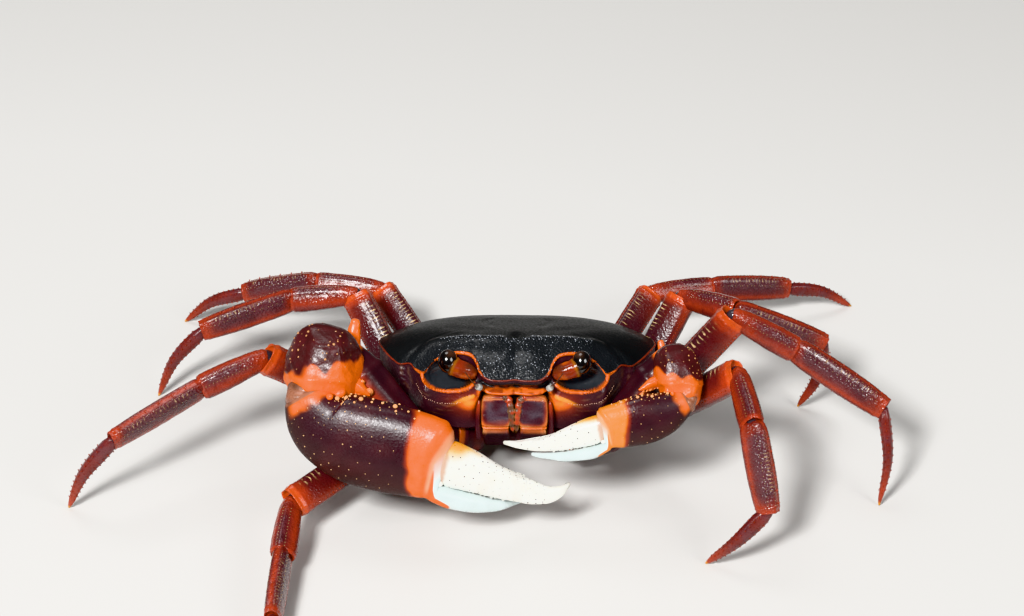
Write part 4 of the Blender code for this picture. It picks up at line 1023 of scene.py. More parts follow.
def makeMouth(side, mark):
    plate = np.array(mouthShape["plate"])
    line = inBody(np.stack([np.full(len(plate), side * mouthShape["middle"]), plate[:, 0], plate[:, 1]], 1))
    thick = mouthShape["thick"] / 2
    rows = [(k / (len(plate) - 1), thick, thick, 2 * half) for k, half in enumerate(plate[:, 2])]
    outward = bodyOut(np.array([0.0, 1.0, 0.25]))
    inner = 180 if side > 0 else 0

    def relief(share, angle, grid):
        face = step(78, 50, aroundDistance(angle, 90))
        upper = step(0.03, 0.09, share) * step(0.46, 0.40, share)
        lower = step(0.58, 0.64, share) * step(1.0, 0.9, share)
        lift = -0.20 * face * upper - 0.12 * face * lower
        lift += 0.10 * ridge(angle, 100, 12) * upper + 0.05 * face * bump(0.24, 0.10, share)
        lift -= 0.14 * bump(0.51, 0.020, share)
        lift -= 0.10 * bump(0.72, 0.2, share) * ridge(angle, 90 + (25 if side > 0 else -25), 7)
        return lift + 0.035 * fuzz(grid, 0.5, 2)

    def painter(share, angle, grid):
        cloud = fuzz(grid, 1.0, 4)
        near = ridge(angle, inner, 62)
        far = ridge(angle, 180 - inner, 44)
        rim = np.maximum(bump(0.035, 0.045, share), bump(0.46, 0.08, share))
        facing = step(95, 60, aroundDistance(angle, 90))
        grey = tint["slate"] * 3.0 + (0.02, 0, 0.01)
        edge = np.clip(near * 1.3 + far * 0.9 + rim * 0.9 + 0.25 * cloud, 0, 1)
        low = step(0.36, 0.46, share - 0.03 * np.cos(np.radians(angle) * 4))
        inside = ridge(angle, inner, 105)
        paint = coats(
            tint["plum"] * 1.8,
            (grey, step(-0.6, 0.5, cloud) * 0.85),
            (tint["rust"] * (0.9, 1.3, 2.0), step(0.25, 0.75, edge)),
            (tint["copper"], step(0.55, 1.0, edge) * 0.7),
            (tint["orange"], low * step(0.68, 0.56, share) * (0.25 + 0.7 * inside)),
            (tint["cream"] * 0.8, bump(0.43, 0.02, share) * facing * 0.35 * step(-0.5, 0.3, cloud)),
            (tint["cream"] * 0.8, near * bump(0.60, 0.10, share) * 0.5),
            (tint["plum"], step(0.60, 0.72, share + 0.03 * cloud) * 0.95))
        return paint, finishOf(grid, 0.33 + 0.25 * step(0.5, 0.7, share), 0.9)

    tube = limbTube("plate", line, outward, rows, around=80, along=130, corners=(0.36, 0.42, 0.42),
                    endSize=0.5, relief=relief, painter=painter)
    parts = [tube["piece"]]
    palp = inBody(mouthShape["palp"], side)
    rows = ((0, .42, .42, .90), (.2, .50, .50, 1.15), (.32, .42, .42, .95), (.55, .46, .46, 1.0),
            (.66, .38, .38, .80), (.85, .38, .38, .76), (1, .20, .20, .36))

    def palpPainter(t, a, g):
        paint = coats(
            tint["umber"] * 2.6,
            (tint["rust"] * 1.5, step(-0.3, 0.5, fuzz(g, 0.5, 3)) * 0.85),
            (tint["cream"] * 0.6, ridges(a, 0, 180, 34) * step(0.35, 0.6, t) * 0.8))
        return paint, finishOf(g, 0.30, 0.5)

    def palpRelief(t, a, g):
        return 0.05 * np.sin(t * 2 * math.pi * 7) + 0.05 * fuzz(g, 0.4, 3)

    def branchPainter(t, a, g):
        return blend(tint["maroon"], tint["rust"], step(0.5, 0.95, t)), finishOf(g, 0.3, 0.5)

    parts.append(limbTube("palp", palp, outward, rows, around=28, along=60, endSize=0.2,
                          painter=palpPainter, relief=palpRelief)["piece"])
    branch = inBody(mouthShape["outerBranch"], side)
    rows = ((0, .5, .5, .8), (.4, .5, .5, .75), (.9, .34, .34, .55), (1, .2, .2, .3))
    parts.append(limbTube("branch", branch, outward, rows, around=20, along=50, endSize=0.2,
                          painter=branchPainter)["piece"])
    tips = np.linspace(0.62, 1.0, 18)
    path = smooth(np.linspace(0, 1, 5), palp, tips)
    hairs = stampCopies("hairs", hairStamp, path, bodyOut(np.stack([-side * 0.3 + 0.25 * np.sin(tips * 90),
                                                                   0.6 + 0 * tips, -1.0 + 0 * tips], 1)),
                        (0.035, 0.035, 0.95), tint["amber"] * 0.35)
    parts.append(hairs)
    settle(parts, "maxilliped" + mark, bodyShell, ["maxilliped_" + mark[0].lower()])


makeMouth(1, "Left")
makeMouth(-1, "Right")
print("mouth ready")


# Claws: the tables give x outwards, the right one is the larger
clawShape = {
    "lean": unit((0.0, 0.36, 0.93)), "palmShare": 0.62, "palmRows": 230, "palmCalming": 26,
    "Right": {"coxa": (9.5, -13.1, 7.2), "ischium": (14.6, -17.5, 10.4), "wrist": (24.3, -12.4, 21.3),
              "hand": (29.4, -19.9, 19.8), "bend": ((26.4, -22.3, 15.6), (20.0, -24.3, 14.1)),
              "hinge": (10.5, -26.5, 13.5), "tip": (-7.9, -27.1, 9.6), "merusSize": 0.99, "carpusSize": 1.0,
              # foot, tip and radius
              "spine": ((24.6, -16.4, 20.4), (20.3, -18.4, 18.5), 1.8),
              "lobe": ((23.0, -11.0, 21.6), (22.7, -9.6, 25.0), 1.0),
              "cuff": (2.7, 1.3), "slant": 2.2, "size": 1.0, "slim": 1.0, "dots": (34, 190, 150), "glow": 56,
              "palm": ((0, 3.2, 3.0, 5.8), (.10, 4.3, 3.6, 6.6), (.26, 5.8, 4.5, 7.0), (.42, 6.4, 5.3, 7.5),
                       (.60, 6.7, 6.0, 7.6), (.78, 6.7, 6.0, 7.2), (.90, 6.2, 5.9, 6.5), (.96, 5.5, 5.8, 5.9),
                       (1, 4.5, 5.7, 5.2)),
              "fixed": ((.03, -3.2, 6.0, 4.4, 0), (.14, -3.4, 6.5, 4.0, .3), (.30, -3.8, 6.7, 3.4, .9),
                        (.46, -4.1, 6.3, 2.7, 1.9), (.62, -3.4, 5.3, 2.0, 3.2), (.76, -2.4, 3.9, 1.4, 3.8),
                        (.86, -1.8, 2.4, .7, 4.0)),
              "free": ((.045, 3.2, 3.5, 4.6, 0), (.12, 3.0, 3.5, 4.5, 0), (.26, 2.4, 3.5, 4.0, -.1),
                       (.48, .9, 3.6, 3.2, -.3), (.70, -.1, 3.6, 2.5, -.3), (.86, -.6, 3.1, 1.7, 0),
                       (.95, -.3, 2.0, 1.1, .5), (1, .2, .5, .6, 1.0))},
    "Left": {"coxa": (9.5, -13.1, 7.2), "ischium": (13.4, -17.0, 10.4), "wrist": (21.8, -13.2, 21.6),
             "hand": (24.2, -20.3, 19.7), "bend": ((20.5, -21.6, 18.0), (16.6, -22.6, 17.4)),
             "hinge": (13.0, -23.4, 17.2), "tip": (-1.2, -24.1, 14.5), "merusSize": 0.78, "carpusSize": 0.61,
             "spine": ((21.0, -16.6, 20.5), (17.6, -18.3, 19.9), 1.05),
             "lobe": ((21.0, -12.4, 21.6), (20.6, -11.6, 23.4), 0.6),
             "cuff": (2.3, 0.4), "slant": 1.2, "size": 0.68, "slim": 0.8, "dots": (20, 80, 70), "glow": 34,
             "palm": ((0, 1.7, 1.7, 2.9), (.12, 2.4, 2.3, 3.7), (.30, 3.1, 3.0, 4.4), (.55, 3.6, 3.4, 4.6),
                      (.82, 3.2, 3.2, 4.0), (1, 2.4, 3.0, 3.2)),
             "fixed": ((.03, -2.0, 3.4, 2.8, 0), (.20, -2.4, 4.2, 2.4, .2), (.42, -2.6, 4.1, 1.9, .7),
                       (.60, -2.5, 3.5, 1.4, 1.3), (.76, -2.3, 2.8, .7, 1.8)),
             "free": ((.045, 1.9, 2.1, 2.9, 0), (.16, 1.7, 2.2, 2.7, 0), (.38, .9, 2.2, 2.1, -.1),
                      (.64, 0, 1.9, 1.6, 0), (.86, 0, 1.1, 1.0, .4), (1, .25, .3, .5, .9))},
    "merus": ((0, 2.0, 2.0, 3.4), (.15, 2.2, 2.3, 3.9), (.35, 2.8, 3.0, 4.9), (.60, 3.4, 3.6, 5.8),
              (.82, 3.6, 3.7, 6.2), (1, 2.6, 2.8, 4.8)),
    "carpus": ((0, 5.3, 3.2, 7.6), (.12, 6.3, 3.8, 8.9), (.34, 7.2, 4.3, 10.2), (.60, 7.0, 4.5, 10.6),
               (.82, 5.7, 4.2, 9.8), (.94, 4.1, 3.5, 8.0), (1, 2.9, 2.8, 6.0)),
    # directions in which the wrist is flattened, and how far out
    "carpusFaces": (((-0.70, -0.35, 0.62), 4.6), ((0.85, -0.30, 0.42), 4.7), ((-0.90, -0.40, 0.05), 4.7),
                    ((0.05, -0.80, 0.60), 4.7), ((0.05, -0.1, 1.0), 6.1), ((0.6, -0.78, 0.05), 4.6)),
}


# Spots on a limb piece where keep(share, degrees) allows them, in a fixed order
def scatterOn(count, seed, keep, low=0.05, high=0.95):
    k = np.arange(count * 8)
    share = low + (high - low) * ((k * scatter["share"] + seed * 0.137) % 1.0)
    angle = 360.0 * ((k * scatter["turn"] + seed * 0.311) % 1.0)
    allowed = keep(share, angle)
    return share[allowed][:count], angle[allowed][:count]


def paleDots(tube, spots, size, colour, depth=0.45):
    points, out = onTube(tube, *spots)
    vary = 0.6 + 0.8 * ((np.arange(len(points)) * scatter["size"]) % 1)
    grow = size * vary
    return stampCopies("dots", fineBeadStamp, points - out * (grow * 0.1)[:, None], out,
                       roundSizes(grow, grow * depth), colour, gloss=0.3)


def makeClaw(mark):
    hand = clawShape[mark]
    side = 1 if mark == "Left" else -1
    big = mark == "Right"
    at = {key: onFloor(hand[key], side) for key in ("coxa", "ischium", "wrist", "hand", "hinge", "tip")}
    bends = onFloor(hand["bend"], side)
    lean = clawShape["lean"]
    node = "cheliped_%s_" % mark[0].lower()
    size = hand["size"]
    armDots, palmDots, fingerPits = hand["dots"]

    # Low teeth on a finger's cutting edge
    def biteRow(tube, shares, target, width, swing, colour):
        points, out = onTube(tube, shares, target)
        bite = (width + 0.10 * np.sin(np.arange(len(shares)) * swing)) * size
        return stampCopies("bite", fineBeadStamp, points - out * 0.08, out, roundSizes(bite, bite * 1.1),
                           colour)

    # Upper arm: its own dark maroon, painted down to plum and darker maroon as painted shade for the shadow
    # it lies in between the wrist and the body
    def merusPainter(t, a, grid):
        cloud = fuzz(grid, 2.4, 3)
        paint = coats(
            tint["plum"],
            (tint["maroon"] * 0.8, step(-0.2, 0.8, cloud)),
            (tint["rust"], (ridge(a, 290, 26) + ridge(a, 250, 26)) * step(0.35, 0.6, t) * 0.5),
            (tint["rust"], ridge(a, 38, 14) * step(0.3, 0.5, t) * 0.9),
            (tint["orange"], step(0.955, 0.98, t + 0.01 * cloud)))
        return paint, finishOf(grid, 0.42, 0.8)

    corner = at["ischium"] + 0.15 * ((at["coxa"] + at["wrist"]) / 2 - at["ischium"])
    merus = limbTube("merus", [at["coxa"], corner, at["wrist"]], up,
                     girthRows(clawShape["merus"], hand["merusSize"], hand["merusSize"]),
                     around=72, along=110, painter=merusPainter, flip=side, endSize=1.6,
                     relief=lambda t, a, g: (0.22 * ridge(a, 90, 12) * step(0.3, 0.5, t)
                                             - 0.30 * bump(0.875, 0.016, t) + 0.07 * fuzz(g, 1.2, 1)))
    teeth = []
    for target, tall, count in ((38, 1.0, 8), (345, 0.7, 6)):
        shares = np.linspace(0.46, 0.86, count)
        points, out = onTube(merus, shares, target)
        grow = (0.46 + 0.14 * np.sin(np.arange(count) * 2.3)) * size
        teeth.append(stampCopies("teeth", spineStamp, points - out * 0.2, out + (0, -0.3, 0.2),
                                 roundSizes(grow, grow * 1.5 * tall + 0.2),
                                 blend(tint["orange"], tint["cream"], 0.25)))
    foot, top, radius = hand["lobe"]
    foot, top = onFloor(foot, side), onFloor(top, side)
    lobe = limbTube("lobe", [foot, (foot + top) / 2, top], np.array([0.0, 1.0, 0.2]),
                    girthRows(((0, 1, 1, 2.2), (.5, .95, 1, 2.0), (1, .6, .6, 1.3)), radius, radius),
                    around=32, along=30, endSize=radius * 0.7,
                    painter=steady(tint["orange"], 0.25, 0.4), relief=uneven(0.08, 0.8))
    teeth.append(lobe["piece"])
    settle([merus["piece"]] + teeth, "claw" + mark + "Merus", clawShell, [node + "merus"])

    # Wrist piece: dark above, orange lobes below and in front
    middle = (at["wrist"] + at["hand"]) / 2

    def carpusPainter(t, a, grid):
        cloud = fuzz(grid, 1.9, 14)
        offset = (grid - middle) / size
        level = offset @ np.array([0.0, 0.59, 0.81])
        inwardSide = -side * offset[..., 0]
        tongues = 0.5 * np.sin(offset[..., 0] * 1.9 + 0.4)
        low = step(0.30, -0.45, level + 1.0 * cloud + tongues - 0.55 * np.maximum(0, inwardSide - 0.8))
        paint = coats(
            tint["mauve"] * 0.42,
            (tint["maroon"] * 1.1, step(-0.3, 0.8, fuzz(grid, 1.2, 15))),
            (tint["rust"], bump(0.5, 0.35, low) * 0.7),
            (tint["orange"], low))
        return paint, finishOf(grid, 0.38, 1.0)

    def carpusMould(grid):
        for way, reach in clawShape["carpusFaces"]:
            way = unit(np.array(way) * (-side, 1, 1))
            over = (grid - middle) @ way - reach * size
            cut = 0.74 * np.maximum(0, over - 0.3 * size * step(0, 0.6 * size, over))
            grid = grid - way * cut[..., None]
        return grid

    def carpusRelief(t, a, grid):
        offset = (grid - middle) / size
        level = offset @ np.array([0.0, 0.59, 0.81])
        lobes = 0.30 * np.sin(offset[..., 0] * 1.25 + 0.6) * step(0.5, -2.0, level)
        return (lobes + 0.16 * fuzz(grid, 1.9, 1) + 0.05 * fuzz(grid, 0.6, 2)
                - 0.22 * bump(-0.9, 0.5, level) * step(0.2, 0.5, t)) * size

    carpus = limbTube("carpus", [at["wrist"], middle, at["hand"]], up,
                      girthRows(clawShape["carpus"], hand["carpusSize"], hand["carpusSize"]),
                      around=110, along=110, painter=carpusPainter, relief=carpusRelief, flip=side,
                      endSize=1.2 * size, startSize=1.8 * size, corners=(0.62, 0.72, 0.75), mould=carpusMould)
    spots = scatterOn(armDots, 1, lambda s, a: (a > 8) & (a < 172))
    dots = [paleDots(carpus, spots, 0.10 * size ** 0.5, tint["cream"] * (0.6, 0.42, 0.42))]
    for target in (70, 112, 138):
        k = np.arange(8)
        spots = (np.linspace(0.1, 0.85, 8) + 0.02 * np.sin(k * 2.7 + target),
                 target + 5 * np.sin(k * 1.7 + target))
        dots.append(paleDots(carpus, spots, 0.17 * size,
                             blend(tint["cream"] * 0.75, tint["orange"] * 0.6, 0.5), 0.6))
    root, tip, radius = hand["spine"]
    root, tip = onFloor(root, side), onFloor(tip, side)
    spine = limbTube("spine", [root, (root + tip) / 2 + up * 0.12, tip], up,
                     girthRows(((0, 1, 1, 2), (.4, .8, .75, 1.5), (.8, .38, .36, .7)), radius, radius)
                     + [(1, .12, .12, .24)], around=28, along=30, endSize=0.15,
                     painter=steady(tint["orange"], 0.25, 0.3), relief=uneven(0.05, 0.6))
    along = np.linspace(0.05, 0.85, 6)[:, None]
    small = root + (tip - root) * along + np.array([0, -0.8, -0.5]) * radius * (1 - 0.5 * along)
    grow = (0.40 + 0.12 * np.sin(np.arange(6) * 2.4)) * size
    spurs = stampCopies("spurs", spineStamp, small, np.tile(unit(tip - root) + (0, -1.0, 0.25), (6, 1)),
                        roundSizes(grow, grow * 2.2),
                        blend(tint["orange"], tint["cream"], 0.3))
    settle([carpus["piece"], spine["piece"], spurs] + dots, "claw" + mark + "Carpus", clawShell,
           [node + "carpus"])

    # Palm and fixed finger in one sweep, so that the finger grows out of the palm's lower half
    inwards = unit(np.cross(at["tip"] - at["hinge"], lean))
    inwards = inwards * np.sign(inwards[1])
    palmRows = np.array(hand["palm"], float)
    fixedRows = np.array(hand["fixed"], float)
    palmShare = clawShape["palmShare"]
    palmLine = smooth(np.linspace(0, 1, 4), np.array([at["hand"], *bends, at["hinge"]]),
                      np.linspace(0, 1, 13))
    fixedLine = at["hinge"] + (at["tip"] - at["hinge"]) * fixedRows[:, 0:1] + inwards * fixedRows[:, 4:5]
    line = np.concatenate([palmLine, fixedLine[1:]])
    lineKnots = np.concatenate([np.linspace(0, palmShare, 13),
                                palmShare + (1 - palmShare) * fixedRows[1:, 0] / fixedRows[-1, 0]])
    rows = [(t * palmShare, a, b, w) for t, a, b, w in palmRows[:-1]]
    rows.append((palmShare * 0.985, palmRows[-1, 1] * 1.02, palmRows[-1, 2], palmRows[-1, 3]))
    rows += [(palmShare + (1 - palmShare) * (r[0] / fixedRows[-1, 0]), r[1], r[2], r[3]) for r in fixedRows]
    rows.append((1.0001, fixedRows[-1, 1], fixedRows[-1, 2] * 0.98, fixedRows[-1, 3] * 0.9))

    def palmPainter(t, a, grid):
        cloud, fine = fuzz(grid, 2.6, 6), fuzz(grid, 0.9, 7)
        u = t / palmShare
        lower = np.maximum(0, -np.sin(np.radians(a)))
        ahead = (at["hinge"][0] - grid[..., 0]) * side
        reach, bulge = hand["cuff"]
        edge = -reach - bulge * step(100, 180, a) * (1 - 0.4 * step(205, 250, a)) * step(330, 280, a)
        past = ahead - edge + (0.45 * cloud + 0.22 * fine) * size
        corner = step(0.13, 0.06, u + 0.03 * cloud + 0.02 * fine) * step(20, 60, a) * step(225, 190, a)
        web = step(0.030, 0.014, u + 0.008 * cloud)
        finger = (t - palmShare) / (1 - palmShare)
        low = step(178, 212, a) * step(340, 290, a)
        pale = step(-0.15, 0.15, ahead - (-0.9 + 2.6 * low) * size + 0.15 * fine) * step(-0.01, 0.01, finger)
        paint = coats(
            tint["plum"] * 1.1,
            (tint["maroon"] * 0.85, step(-0.4, 0.7, cloud)),
            (tint["umber"] * 1.1, lower * 0.55),
            (tint["rust"], step(-0.9, -0.1, past) * 0.9),
            (tint["orange"] if big else tint["orange"] * 0.6 + tint["amber"] * 0.42, step(-0.35, 0.25, past)),
            (tint["orange"], corner),
            (blend(tint["membrane"], tint["umber"], step(0.1, 0.8, fine) * 0.5), web),
            (tint["cream"] * (1, 1.15, 1.6), bump(0.990, 0.0035, u) * step(50, 70, a) * step(240, 215, a)
             * 0.9),
            (tint["ivory"] * (0.64, 0.73, 0.78), pale),
            (tint["umber"] * 3.0, step(0.05, 0.12, finger) * ridge(a, 88, 16) * step(0.2, 0.8, fine + 0.3)
             * step(0.85, 0.6, finger) * 0.5))
        gloss = 0.41 + 0.15 * lower * (1 - pale) - 0.10 * pale - 0.06 * step(-4, -1, past)
        return paint, finishOf(grid, gloss, 0.8 - 0.7 * pale)

    def palmRelief(t, a, grid):
        u = t / palmShare
        lift = 0.06 * fuzz(grid, 2.9, 1) + 0.006 * fuzz(grid, 0.7, 2)
        lip = bump(0.978, 0.012, u) * step(30, 60, a) * step(250, 215, a)
        lift = lift + 0.20 * lip - 0.12 * bump(0.950, 0.012, u) * step(40, 70, a) * step(240, 205, a)
        return lift * size

    def palmWarp(t, a):
        u = t / palmShare
        tall = np.sin(np.radians(a))
        tall = np.where(tall > 0, tall, 0.25 * tall)
        return hand["slant"] * tall * step(0.80, 0.985, u) * step(1.03, 0.99, u)

    def palmMould(grid):
        u = (np.arange(len(grid)) - len(domeEnd)) / clawShape["palmRows"] / palmShare
        calm = step(0.86, 0.80, u)[1:-1, None, None]
        for turn in range(clawShape["palmCalming"]):
            middleRows = 0.5 * grid[1:-1] + 0.25 * (grid[:-2] + grid[2:])
            grid = np.concatenate([grid[:1], grid[1:-1] + (middleRows - grid[1:-1]) * calm, grid[-1:]])
        return grid

    palm = limbTube("palm", line, lean, rows, around=128, along=clawShape["palmRows"], painter=palmPainter,
                    relief=palmRelief, flip=side, startSize=1.5 * size, endSize=0.2,
                    knots=lineKnots, warp=palmWarp, mould=palmMould)
    spots = scatterOn(palmDots, 2, lambda s, a: (a < 235) | (a > 290), 0.04, palmShare * 0.84)
    parts = [palm["piece"], paleDots(palm, spots, 0.088 * size ** 0.5, tint["cream"] * (0.7, 0.6, 0.6))]
    for target, grow, drift, count in ((96, 0.36, 0.0, 11), (84, 0.20, 0.015, 10), (112, 0.18, 0.02, 9)):
        row = np.linspace(0.14, 0.84, count) * palmShare + 0.008 * np.sin(np.arange(count) * 3.1)
        wobble = 4.5 * np.sin(np.arange(count) * 1.9 + target)
        points, out = onTube(palm, row + drift, target + wobble)
        wave = 0.70 + 0.30 * np.sin(np.arange(count) * 2.1 + target)
        knob = grow * wave * size
        parts.append(stampCopies("knobs", beadStamp, points - out * (knob * 0.25)[:, None], out,
                                 np.stack([knob * 1.15, knob, knob * 0.8], 1),
                                 blend(tint["cream"], tint["orange"], 0.25 + 0.2 * wave)))
    points, out = onTube(palm, np.array([0.12, 0.10]) * palmShare, np.array([84, 112]))
    parts.append(stampCopies("condyles", beadStamp, points, out + np.array([0, 0.1, 0.4]),
                             np.array([[0.85, 0.85, 1.25], [0.5, 0.5, 0.7]]) * size, tint["orange"]))
    biteShares = palmShare + (1 - palmShare) * np.linspace(0.20, 0.62, 11)
    parts.append(biteRow(palm, biteShares, 90, 0.24, 2.6, tint["ivory"] * 0.8))
    toPalm = unit(palmLine[1] - palmLine[0])
    fromWrist = unit(at["hand"] - middle)
    softLine = [at["hand"] - fromWrist * size, at["hand"] + (0, -0.1, -0.3), at["hand"] + toPalm * 1.6 * size]
    slim = size * hand["slim"]
    rows = girthRows(((0, 2.0, 2.2, 4.6), (.5, 2.3, 2.5, 5.0), (1, 2.0, 2.2, 4.6)), slim, slim)

    def softPainter(t, a, g):
        paint = blend(tint["membrane"], tint["umber"], step(-0.2, 0.7, fuzz(g, 0.9, 3)) * 0.6)
        return paint, finishOf(g, 0.3, 0.6)

    soft = limbTube("soft", softLine, up, rows, around=48, along=30, endSize=0.8 * size,
                    painter=softPainter,
                    relief=lambda t, a, g: 0.12 * np.sin(t * 2 * math.pi * 5) * size + 0.1 * fuzz(g, 0.8, 3))
    parts.append(soft["piece"])
    settle(parts, "claw" + mark + "Palm", clawShell, [node + "palm"])

    # Free finger
    freeRows = np.array(hand["free"], float)
    line = at["hinge"] + (at["tip"] - at["hinge"]) * freeRows[:, 0:1] + inwards * freeRows[:, 4:5]

    def fingerPainter(t, a, grid):
        cloud, fine = fuzz(grid, 1.6, 8), fuzz(grid, 0.5, 9)
        glow = step(0.36, 0.10, t + 0.04 * cloud + 0.0012 * aroundDistance(a, 98))
        glow = glow * ridge(a, 98, hand["glow"])
        paint = coats(
            tint["ivory"],
            (tint["cream"], step(0.2, 0.9, cloud) * 0.08),
            (tint["yolk"], step(0.1, 0.7, glow) * 0.9),
            (tint["flame"], step(0.5, 0.9, glow) * step(0.24, 0.12, t) * 0.9),
            (tint["umber"] * 6, step(0.35, 0.8, fine) * ridge(a, 272, 30) * 0.4),
            (tint["horn"], step(0.93, 1.0, t) * 0.8),
            # painted shadow: a darker band at the finger's base, in the crease where it meets the palm
            (tint["creaseShadow"], step(0.045, 0.015, t + 0.008 * fine) * 0.75))
        return paint, finishOf(grid, 0.30, 0.2)

    def fingerRelief(t, a, grid):
        hinge = 0.25 * bump(0.03, 0.03, t) * ridge(a, 250, 40)
        grooves = 0.07 * (ridge(a, 150, 10) + ridge(a, 30, 10)) * step(0.1, 0.3, t) * step(0.9, 0.7, t)
        return (hinge + 0.04 * fuzz(grid, 1.4, 5) - grooves) * size

    knots = (freeRows[:, 0] - freeRows[0, 0]) / (1 - freeRows[0, 0])
    free = limbTube("free", line, lean, [(t, *r[1:4]) for t, r in zip(knots, freeRows)], around=84, along=130,
                    painter=fingerPainter, relief=fingerRelief, flip=side, knots=knots,
                    startSize=1.3 * size, endSize=0.3)
    spots = scatterOn(fingerPits, 5, lambda s, a: (a < 245) | (a > 300), 0.05, 0.85)
    parts = [free["piece"], paleDots(free, spots, 0.105, tint["umber"] * 0.6, 0.25)]
    parts.append(biteRow(free, np.linspace(0.16, 0.52, 13), 275, 0.22, 2.2, tint["ivory"] * 0.85))
    points, out = onTube(free, np.array([0.0, 0.0]), np.array([235, 300]))
    parts.append(stampCopies("pivot", beadStamp, points, out,
                             np.array([[0.55, 0.55, 0.5], [0.5, 0.5, 0.45]]) * size, tint["ivory"]))
    settle(parts, "claw" + mark + "FreeFinger", ivoryShell, [node + "dactylus"])


clawShell = shellMaterial("clawShell", scale=3000.0, blotch=0.22, relief=0.00002, coat=0.16)
ivoryShell = shellMaterial("ivoryShell", scale=2600.0, blotch=0.06, relief=0.00003, coat=0.45,
                           subsurface=0.12)
for clawMark in ("Right", "Left"):
    makeClaw(clawMark)
print("claws ready")


# Underside: breast plate, bases of the limbs, folded abdomen
undersideShape = {
    # f, half width, upper and lower level
    "sternum": ((8.6, 4.6, -10.4, -12.0), (6.5, 8.6, -10.3, -12.5), (3.0, 10.2, -10.1, -12.6),
                (-1.5, 10.6, -9.6, -12.2), (-6.0, 9.6, -8.4, -10.9), (-10.0, 7.4, -7.0, -9.4),
                (-13.2, 5.0, -5.4, -7.3)),
    # f of each seam at the middle and at the edge
    "seams": ((6.6, 6.9), (3.6, 4.6), (-0.6, 0.9), (-4.4, -3.4), (-8.2, -7.6)),
    "coxa": {1: (2.5, 4.6), 2: (2.1, 4.3), 3: (2.1, 4.3), 4: (2.0, 4.1), 5: (1.65, 3.5)}, "coxaLength": 5.5,
    "abdomen": ((4.5, .9, -13.35), (2.5, 1.5, -13.4), (-1, 2, -13.1), (-4.5, 2.8, -12.1), (-8, 3.8, -10.9),
                (-11.5, 4.8, -9.4), (-13.7, 5.2, -7.7), (-14.8, 5.0, -5.7)),
    "rings": (0.155, 0.30, 0.435, 0.57, 0.70, 0.83, 0.94), "abdomenThick": 0.9,
}


